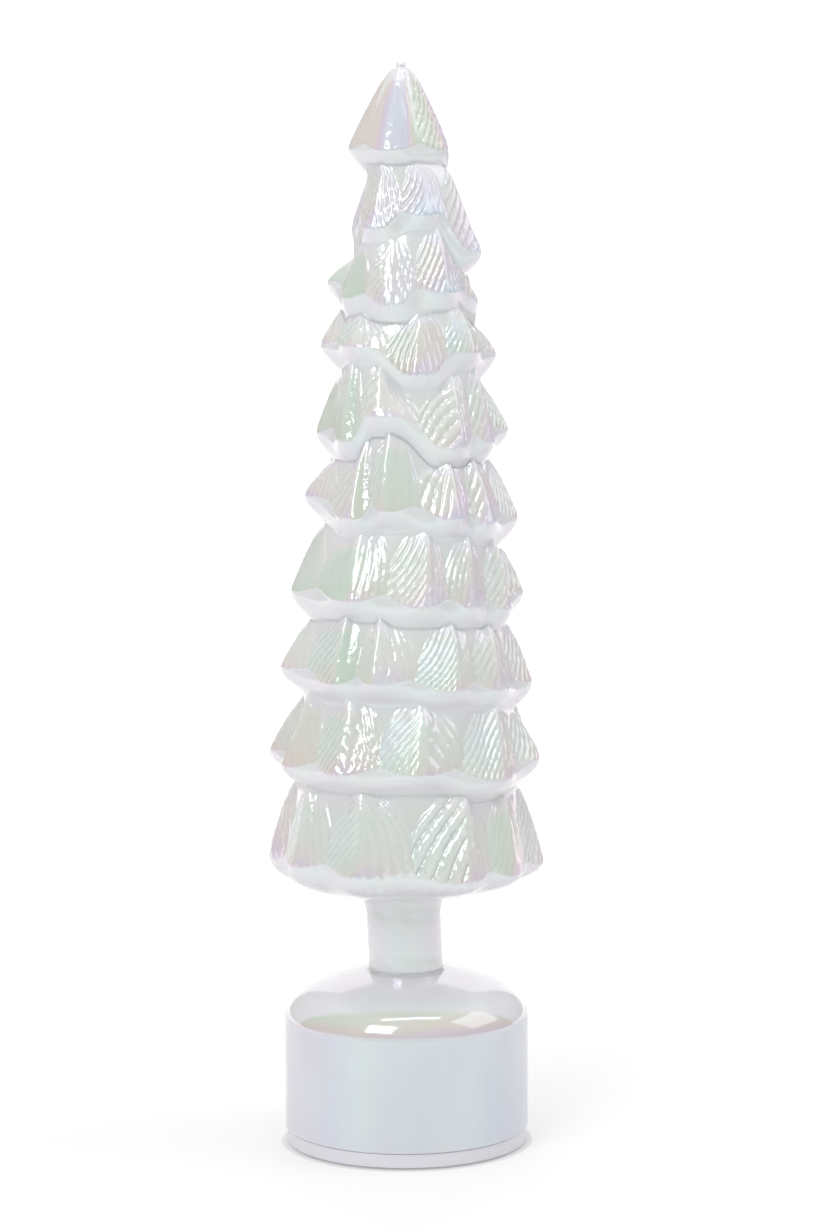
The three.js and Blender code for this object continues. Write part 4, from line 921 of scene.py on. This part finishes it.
def crown_rows(angle):
    """The crown from its root up to the nub, as arrays [row, column] of radius and height and of
    what the needles and the lustre need: share of the slope, degrees from the ridge, bough, needles,
    how far the wedge stands out, and tier. A slope goes from the lip to the neck, and its radius
    from the core to the ridge by the wedge. Also returned: the first row above each neck, the first
    row of each slope, and how squarely each column faces sideways, where the lips are level and
    rounded."""
    flat = np.zeros_like(angle)
    turn = np.radians(angle)
    at_side = 1 - eased((np.abs(np.cos(turn)) - SIDE_EDGE) / SIDE_FADE)
    kept = {name: [] for name in ("radius", "z", "slope", "off", "bough", "needles", "wedge", "tier")}
    breaks, lips = [], []

    def keep(radius, z, slope=-1.0, off=0.0, bough=0.0, needles=0.0, wedge=0.0, tier=0.0):
        blank = 0 * radius
        for name, value in zip(kept, (radius, z, slope, off, bough, needles, wedge, tier)):
            kept[name].append(value + blank)

    level = CROWN_ROOT_MM
    under = (flat + TRUNK_RADIUS_MM + TRUNK_FLARE_MM, flat + CROWN_ROOT_MM)
    for i, tier in enumerate(TIERS):
        rise, reach, neck, bulge, _, _ = tier
        level += rise
        last = i == len(TIERS) - 1
        here = boughs_at(tier, angle)
        low = level + here["level"]
        if last:
            neck_z = flat + level + TIP_RISE_MM
            ridge_top = (flat + neck, neck_z)
        else:
            above, over = TIERS[i + 1], boughs_at(TIERS[i + 1], angle)
            neck_z = level + above[0] + over["level"] - UNDERSIDE_DROP_MM
            climb = BOUGH_CLIMB[i] * (1 - at_side) * (
                1 - (1 - VALLEY_CLIMB[i]) * eased(here["valley"] / BOUGH_TOP_WIDTH))
            lip_above = (above[1] + over["extra"] - LIP_TUCK_MM - BAND_SWAY_MM * eased(over["valley"]),
                         level + above[0] + over["level"] - LIP_BAND_MM)
            ridge_top = (neck + climb * (lip_above[0] - neck), neck_z + climb * (lip_above[1] - neck_z))
        share = TOP_VALLEY_SHARE if last else 1
        valley_rise = TIP_VALLEY_RISE if last else VALLEY_RISE + TIER_VALLEY_RISE * i
        lip_z = low + valley_rise * eased(here["valley"]) ** 2 * (neck_z - low)
        full = reach + here["extra"] + (0 if last else LIP_SWELL_MM) * at_side
        dip = eased(here["valley"])
        band = (full - LIP_TUCK_MM - BAND_SWAY_MM * dip * share,
                low - LIP_BAND_MM if i else flat + level - SKIRT_BAND_MM)
        ends = grooves(i, here["bough"], full * np.radians(here["off"]), lip_z, here["needles"],
                       1 - here["valley"])
        lip_z = lip_z - (SCALLOP_MM * (ends - SCALLOP_LEVEL) * np.minimum(here["needles"], 1)
                         * eased(SCALLOP_FADE * (1 - here["valley"])))
        lip_wedge = (1 - dip / BOUGH_FOOT_WIDTH) ** FACE_HOLLOW
        crease = (full - (full - ridge_top[0]) * VALLEY_DEPTH * share * (1 - lip_wedge), lip_z)
        bend = 1 if i else SKIRT_CURVE
        roll, corner = [
            [under[0] + (band[0] - under[0]) * share_out,
             under[1] + (band[1] - under[1]) * share_out ** bend]
            for share_out in (ROLL_START, ROLL_CORNER)]
        keep(*stretch(under, roll, UNDER_ROWS if i else SKIRT_UNDER_ROWS, bend), tier=i)
        keep(*rolled(roll, corner, crease, ROLL_ROWS), tier=i)
        lips.append(sum(len(rows_kept) for rows_kept in kept["radius"]))
        slope_rows = round(float((neck_z - low).mean()) * SLOPE_STRETCH / ROW_STEP_MM)
        slope = np.linspace(0, 1, slope_rows + 1)[:-1, None]
        fullness = (1 - slope) ** bulge
        width = BOUGH_TOP_WIDTH + (BOUGH_FOOT_WIDTH - BOUGH_TOP_WIDTH) * (1 - slope) ** BOUGH_SPREAD
        sway = RIDGE_SWAY * (np.sin(3 * turn + 2.1 * i) + 0.7 * np.sin(7 * turn + 1.3 * i))
        swayed = boughs_at(tier, angle + sway * np.sin(np.pi * slope) * (0 if last else 1))
        rounded = np.hypot(swayed["valley"], RIDGE_ROUND) - RIDGE_ROUND
        rounded = rounded + (eased(swayed["valley"]) - rounded) * (1 - slope) ** 3
        wedge = np.clip(1 - rounded / width, 0, 1)
        raised = RELIEF_MM * eased(wedge / RELIEF_EDGE) * eased(RELIEF_FADE * (1 - slope))
        core = ridge_top[0] + fullness * (full - ridge_top[0]) * (1 - VALLEY_DEPTH * share)
        ridge = ridge_top[0] + fullness * (full - ridge_top[0])
        keep(core + (ridge - core) * wedge ** FACE_HOLLOW + raised,
             lip_z + (ridge_top[1] - lip_z) * slope,
             slope, swayed["off"], swayed["bough"], swayed["needles"], wedge, i)
        breaks.append(sum(len(rows_kept) for rows_kept in kept["radius"]))
        under = ridge_top
    return {name: np.concatenate(values) for name, values in kept.items()}, breaks, lips, at_side


def soften(values, passes, first=0, last=None):
    """Rows between two become half themselves and a quarter of each neighbour, a number of times."""
    part = values[first:last]
    for _ in range(passes):
        part[1:-1] = 0.5 * part[1:-1] + 0.25 * (part[:-2] + part[2:])


def grid_normals(points):
    """The direction square to both the run of the columns and that of the rows."""
    along = np.roll(points, -1, 1) - np.roll(points, 1, 1)
    up = np.gradient(points, axis=0)
    direction = np.cross(along, up)
    return direction / np.maximum(np.linalg.norm(direction, axis=-1, keepdims=True), 1e-9)


fine_angle = np.arange(FINE_COLUMNS) * 360 / FINE_COLUMNS
crown, crown_breaks, crown_lips, at_side = crown_rows(fine_angle)
for values in (crown["radius"], crown["z"]):
    soften(values, LIP_SOFTENING)
    rounder = values.copy()
    for lip_row in crown_lips:
        soften(rounder, LIP_ROUNDING, lip_row - LIP_REACH_ROWS, lip_row + LIP_REACH_ROWS)
    values += at_side * (rounder - values)
    for neck_row in crown_breaks[:-1]:
        soften(values, NECK_SOFTENING, neck_row - NECK_SOFTENING, neck_row + NECK_SOFTENING)

# The nub is a flattened ball, from its neck up to near its pole
nub_turn = np.radians(np.linspace(-40, 85, 12))[:, None]
nub_radius = NUB_RADIUS_MM * np.cos(nub_turn) * np.ones((1, FINE_COLUMNS))
tip_z = CROWN_ROOT_MM + sum(tier[0] for tier in TIERS) + TIP_RISE_MM
nub_z = tip_z + NUB_HEIGHT_MM * (0.45 + 0.55 * np.sin(nub_turn)) * np.ones((1, FINE_COLUMNS))
blank_nub = np.zeros_like(nub_radius)
whole = {name: np.concatenate([values, blank_nub - (name == "slope")]) for name, values in crown.items()}
whole["radius"][-len(nub_turn):] = nub_radius
whole["z"][-len(nub_turn):] = nub_z

# Needles are pressed into the faces of the boughs, fading at the ridge and the edges, and the mould's
# hammered skin shows on them
tier_number = whole["tier"].astype(int)
bough_number = whole["bough"].astype(int)
own = chance[tier_number, bough_number]
sideways = whole["radius"] * np.radians(whole["off"])
groove = grooves(tier_number, bough_number, sideways, whole["z"], whole["needles"], whole["wedge"])
on_bough = whole["slope"] >= 0
below_neck = 1 - whole["slope"]
face = on_bough * eased(whole["wedge"] / 0.08) * eased(below_neck / 0.12)
hammer = luck.standard_normal(whole["z"].shape)
for axis in (0, 1, 0, 1):
    hammer = 0.5 * hammer + 0.25 * (np.roll(hammer, 1, axis) + np.roll(hammer, -1, axis))
hammer /= hammer.std()
depth = NEEDLE_DEPTH_MM * whole["needles"] * np.where(sideways < 0, 1, RIGHT_FACE_SHARE)
lift = face * (depth * eased(np.abs(sideways) / NEEDLE_START_MM) * (groove - GROOVE_LEVEL)
               + HAMMER_MM * hammer * (HAMMER_ON_PLAIN + whole["needles"]))

# Blown glass is never quite even: a slow swell, half as deep on the bands and none on the nub
SWELL_FROM_MM = 4
turn = np.radians(fine_angle)[None, :]
swell = 0.12 * np.sin(3 * turn + 0.11 * whole["z"]) + 0.1 * np.sin(7 * turn - 0.17 * whole["z"] + 1)
swell = np.where(on_bough, swell, 0.5 * swell) * (whole["radius"] > SWELL_FROM_MM)
smooth_radius = whole["radius"] + swell

tree_points = around(fine_angle[None, :], smooth_radius, whole["z"])
tree_points[..., 0] += shift_at(whole["z"])
tree_points += grid_normals(tree_points) * lift[..., None]
tree_directions = grid_normals(tree_points)

# What the lustre follows: lavender on the bands, green on the left faces, olive and tan on the right
# ones, rose and violet at the ridges' feet, and more violet in the upper tiers. A bough's own luck
# shifts its hue and its depth
BAND_LUSTRE, BAND_TINT = 0.8, 0.12
SLOPE_SHIFT, SLOPE_TINT = -0.48, 0.16
FACE_SHIFT, FACE_TINT = -0.05, 0.26
TIER_SHIFT = np.array([0.0, -0.05, 0.0, 0.02, 0.05, 0.03, 0.02, 0.2, 0.33, 0.3])
RIGHT_SHIFT = 0.12
OWN_SHIFT, OWN_TINT = 0.14, 0.15
FOOT_SHIFT, FOOT_TINT = 0.4, 0.4
face_side = np.clip(sideways / 4, -1, 1)
foot = np.clip(below_neck, 0, 1) ** 3 * whole["wedge"]
on_slope = on_bough * eased(below_neck / 0.3)
on_face = on_slope * eased(whole["wedge"] / 0.15)
lustre = BAND_LUSTRE + SLOPE_SHIFT * on_slope + on_face * (
    FACE_SHIFT + TIER_SHIFT[tier_number] + RIGHT_SHIFT * face_side + OWN_SHIFT * own[..., 0]
    + FOOT_SHIFT * foot)
tint_depth = BAND_TINT + SLOPE_TINT * on_slope + on_face * (
    FACE_TINT + OWN_TINT * own[..., 1] + FOOT_TINT * foot)

# Faces without needles are the greenest
PLAIN_LUSTRE, PLAIN_TINT = 0.2, 0.25
PLAIN_BELOW = 0.6
plain_face = on_face * eased((PLAIN_BELOW - whole["needles"]) / PLAIN_BELOW) * eased(whole["wedge"] / 0.35)
lustre += plain_face * (PLAIN_LUSTRE + 0.1 * own[..., 0] - lustre)
tint_depth += PLAIN_TINT * plain_face

# The tip's broad facets carry painted reflections: tan, violet, and green on the right, set by the angle
# round the tip. Each is degrees round the tip and the lustre there
TIP_REFLECTION_TINT = 0.4
TIP_REFLECTION_HUES = [(-180, 0.3), (-90, 0.36), (-60, 0.45), (-32, 0.47), (-18, 0.8), (8, 0.82), (22, 0.2),
            (50, 0.3), (75, 0.8), (110, 0.3), (180, 0.3)]
tip_angles, tip_lustres = zip(*TIP_REFLECTION_HUES)
tip_reflection_share = on_face * (tier_number == len(TIERS) - 1)
# Painted reflection: each facet's colour is fixed by its angle round the tip
tip_reflection_lustre = np.interp((fine_angle + 180) % 360 - 180, tip_angles, tip_lustres)[None, :]
lustre += tip_reflection_share * (tip_reflection_lustre - lustre)
tint_depth += TIP_REFLECTION_TINT * tip_reflection_share

# The mould's fine ripple is deepest on the faces
BAND_RIPPLE, SLOPE_RIPPLE, FACE_RIPPLE = 0.12, 0.1, 0.5
ripple_depth = BAND_RIPPLE + SLOPE_RIPPLE * on_slope + FACE_RIPPLE * on_face

# The inside follows the necks, as a few plain rows
INNER_STEP_MM = 6
HOLE_RADIUS_MM = CROWN_SPIGOT_MM + JOINT_GAP_MM
TOP_HOLLOW_MM = 0.4
inner_z = [CROWN_ROOT_MM, CROWN_ROOT_MM + GLASS_WALL_MM, CROWN_ROOT_MM + TIERS[0][0]]
inner_radius = [HOLE_RADIUS_MM] * 2 + [TIERS[0][2] - GLASS_WALL_MM]
neck_level = CROWN_ROOT_MM
for tier, tier_above in zip(TIERS, TIERS[1:]):
    neck_level += tier[0]
    inner_z.append(neck_level + tier_above[0] - UNDERSIDE_DROP_MM)
    inner_radius.append(tier[2] - GLASS_WALL_MM)
inner_z.append(inner_z[-1] + GLASS_WALL_MM)
inner_radius.append(TOP_HOLLOW_MM)


def stretch_of_tree(name, first, last, low, high, capped=False):
    """Outer rows first to last, and the inside between two heights. Each piece closes in rings
    across the wall, but the highest closes at the tip and at the top of the inside."""
    heights = np.concatenate([np.arange(low, high, INNER_STEP_MM), inner_z])
    heights = np.unique(np.round(heights[(heights > low + 0.5) & (heights < high - 0.5)], 3))
    heights = np.concatenate([[low], heights, [high]])[::-1]
    radius = np.interp(heights, inner_z, inner_radius)
    inside = around(fine_angle[None, :], radius[:, None] + 0 * fine_angle, heights[:, None])
    inside[..., 0] += shift_at(heights)[:, None]
    facing = around(fine_angle[None, :], -np.ones((len(heights), 1)), 0 * heights[:, None])
    blank = np.zeros((len(heights), FINE_COLUMNS))
    outside = slice(first, last)
    parts = [(inside, tree_points[outside]), (facing, tree_directions[outside]),
             (blank, lustre[outside]), (blank, tint_depth[outside]), (blank, ripple_depth[outside])]
    grid, directions, own_lustre, own_depth, own_ripple = [np.concatenate(pair) for pair in parts]
    skin(name, grid, PEARL, "turntable", ["glass_tree"], capped, directions,
         {"lustre": own_lustre, "tint_depth": own_depth, "ripple": own_ripple})


STRETCHES = ("tree_skirt", "tree_tiers_2_3", "tree_tiers_4_5", "tree_tiers_6_7", "tree_tiers_8_9",
             "tree_tip")
TIERS_PER_STRETCH = 2
necks = [0, *crown_breaks[:-1:TIERS_PER_STRETCH], len(tree_points)]
seam_z = [inner_z[0]] + [float(whole["z"][row].mean()) for row in necks[1:-1]] + [inner_z[-1]]
for i, name in enumerate(STRETCHES):
    last = name == STRETCHES[-1]
    stretch_of_tree(name, necks[i], necks[i + 1] + (0 if last else 1), seam_z[i], seam_z[i + 1],
                    capped=last)


# Photographer's table
# A sweep of pale paper that glows a little, more so towards the wall, and less under the foot, where the
# dimmer glow is a painted shadow. A soft box stands to the upper left, a wide one to the right and a
# strip overhead, in a white room.

FLOOR_FRONT = -3.0
FLOOR_HALF_WIDTH = 4.0
BEND_START = 1.6
BEND_RADIUS = 1.2
WALL_TOP = 4.5
WALL_HALF_WIDTH = 1.1
# Painted shadow: how far from the middle the paper glows less, and how much
PAINTED_SHADOW_RADIUS = 0.0445
PAINTED_SHADOW_GLOW = (0.22, 0.22, 0.22)
FLOOR_GLOW = (0.34, 0.34, 0.34)
WALL_GLOW = (0.9, 0.9, 0.9)
GLOW_PER_HEIGHT = 8
GLOW_PER_DEPTH = 0.8


def sweep():
    """Flat towards the viewer, then a quarter circle up into a wall behind."""
    turn = np.linspace(0, np.pi / 2, 24)
    bend = np.stack([BEND_START + BEND_RADIUS * np.sin(turn), BEND_RADIUS - BEND_RADIUS * np.cos(turn)], 1)
    wall = BEND_START + BEND_RADIUS
    profile = np.concatenate([[[FLOOR_FRONT, 0.0], [0.0, 0.0]], bend, [[wall, WALL_TOP]]])
    half = np.interp(profile[:, :1], [0, 2], [FLOOR_HALF_WIDTH, WALL_HALF_WIDTH])
    across = half * np.linspace(-1, 1, 9)[None, :]
    grid = np.stack(np.broadcast_arrays(across, profile[:, :1], profile[:, 1:]), -1)
    count, columns = grid.shape[:2]
    row = np.arange(count - 1)[:, None]
    column = np.arange(columns - 1)[None, :]
    quads = np.stack([row * columns + column, row * columns + column + 1,
                      (row + 1) * columns + column + 1, (row + 1) * columns + column], -1).reshape(-1, 4)
    mesh = bpy.data.meshes.new("paper_sweep")
    mesh.from_pydata(grid.reshape(-1, 3).tolist(), [], quads.tolist())
    mesh.shade_smooth()
    paper = Finish("white_paper")
    fibre = paper.noise(60, 3)
    height = paper.node("ShaderNodeSeparateXYZ", sockets={0: paper.where}, output="Z")
    beyond = paper.node("ShaderNodeSeparateXYZ", sockets={0: paper.where}, output="Y")
    away = paper.node("ShaderNodeVectorMath", {"operation": "LENGTH"}, {0: paper.where}, output="Value")
    glow = paper.blend(GLOW_PER_HEIGHT * height + GLOW_PER_DEPTH * beyond, FLOOR_GLOW, WALL_GLOW)
    mesh.materials.append(paper.show(paper.shader(
        Base_Color=paper.blend(fibre, (0.58, 0.58, 0.58), (0.56, 0.56, 0.56)),
        Roughness=0.9 - 0.05 * fibre,
        # Painted shadow: close under the foot the paper glows less
        Emission_Color=paper.blend(away > PAINTED_SHADOW_RADIUS, PAINTED_SHADOW_GLOW, glow),
        Emission_Strength=1.0,
        Normal=paper.bump(fibre, 0.0001))).material)
    return bpy.data.objects.new("paper_sweep", mesh)


paper_sweep = sweep()
bpy.context.scene.collection.objects.link(paper_sweep)

TARGET = Vector((0, 0, 0.19))


def soft_box(name, azimuth, elevation, distance, width, height, brightness, colour=(1, 1, 1)):
    """A panel of a given radiance, aimed at the middle of the tree from an angle and a height."""
    side, lift_angle = math.radians(azimuth), math.radians(elevation)
    away = Vector((math.sin(side) * math.cos(lift_angle), -math.cos(side) * math.cos(lift_angle),
                   math.sin(lift_angle)))
    lamp = bpy.data.lights.new(name, "AREA")
    lamp.shape = "RECTANGLE"
    lamp.size = width
    lamp.size_y = height
    lamp.energy = brightness * math.pi * width * height
    lamp.color = colour
    panel = bpy.data.objects.new(name, lamp)
    panel.location = TARGET + distance * away
    panel.rotation_euler = away.to_track_quat("Z", "Y").to_euler()
    bpy.context.scene.collection.objects.link(panel)


soft_box("key_box", azimuth=-28, elevation=35, distance=1.6, width=0.7, height=0.75, brightness=5.0)
soft_box("side_box", azimuth=86, elevation=36, distance=1.8, width=1.2, height=1.1, brightness=1.1,
         colour=(0.97, 0.96, 1.0))
soft_box("top_strip", azimuth=10, elevation=76, distance=1.5, width=1.1, height=0.16, brightness=3.0)

# The room is half as bright at the horizon and below as overhead
HORIZON_TONE = (0.5, 0.5, 0.5, 1)
world = bpy.data.worlds.new("studio_air")
world.use_nodes = True
air = world.node_tree
direction = air.nodes.new("ShaderNodeTexCoord")
height = air.nodes.new("ShaderNodeSeparateXYZ")
tone = air.nodes.new("ShaderNodeValToRGB")
tone.color_ramp.elements[0].color = HORIZON_TONE
tone.color_ramp.elements[1].color = (1, 1, 1, 1)
air.links.new(direction.outputs["Generated"], height.inputs[0])
air.links.new(height.outputs["Z"], tone.inputs[0])
air.links.new(tone.outputs["Color"], air.nodes["Background"].inputs["Color"])
air.nodes["Background"].inputs["Strength"].default_value = 1.0
bpy.context.scene.world = world
bpy.context.scene.view_settings.view_transform = "Standard"


# Photographer's camera
# It stands where the photograph was taken from, 1.3 m in front and a little above, and looks down 7
# degrees. Place, tilt and lens were fitted to the outline of the tree in the photograph.

CAMERA_BACK = 1.300
CAMERA_HEIGHT = 0.348
CAMERA_RIGHT = 0.00207
CAMERA_PITCH = 7.0
CAMERA_ROLL = -0.32
CAMERA_LENS = 109.4
CAMERA_SENSOR = 36
CAMERA_NEAREST = 0.05

lens = bpy.data.cameras.new("photo_camera")
lens.lens = CAMERA_LENS
lens.sensor_width = CAMERA_SENSOR
lens.clip_start = CAMERA_NEAREST
camera = bpy.data.objects.new("photo_camera", lens)
camera.location = (CAMERA_RIGHT, -CAMERA_BACK, CAMERA_HEIGHT)
camera.rotation_mode = "XYZ"
camera.rotation_euler = (math.radians(90 - CAMERA_PITCH), 0, 0)
bpy.context.scene.collection.objects.link(camera)
camera.rotation_euler.rotate_axis("Z", math.radians(CAMERA_ROLL))
bpy.context.scene.camera = camera
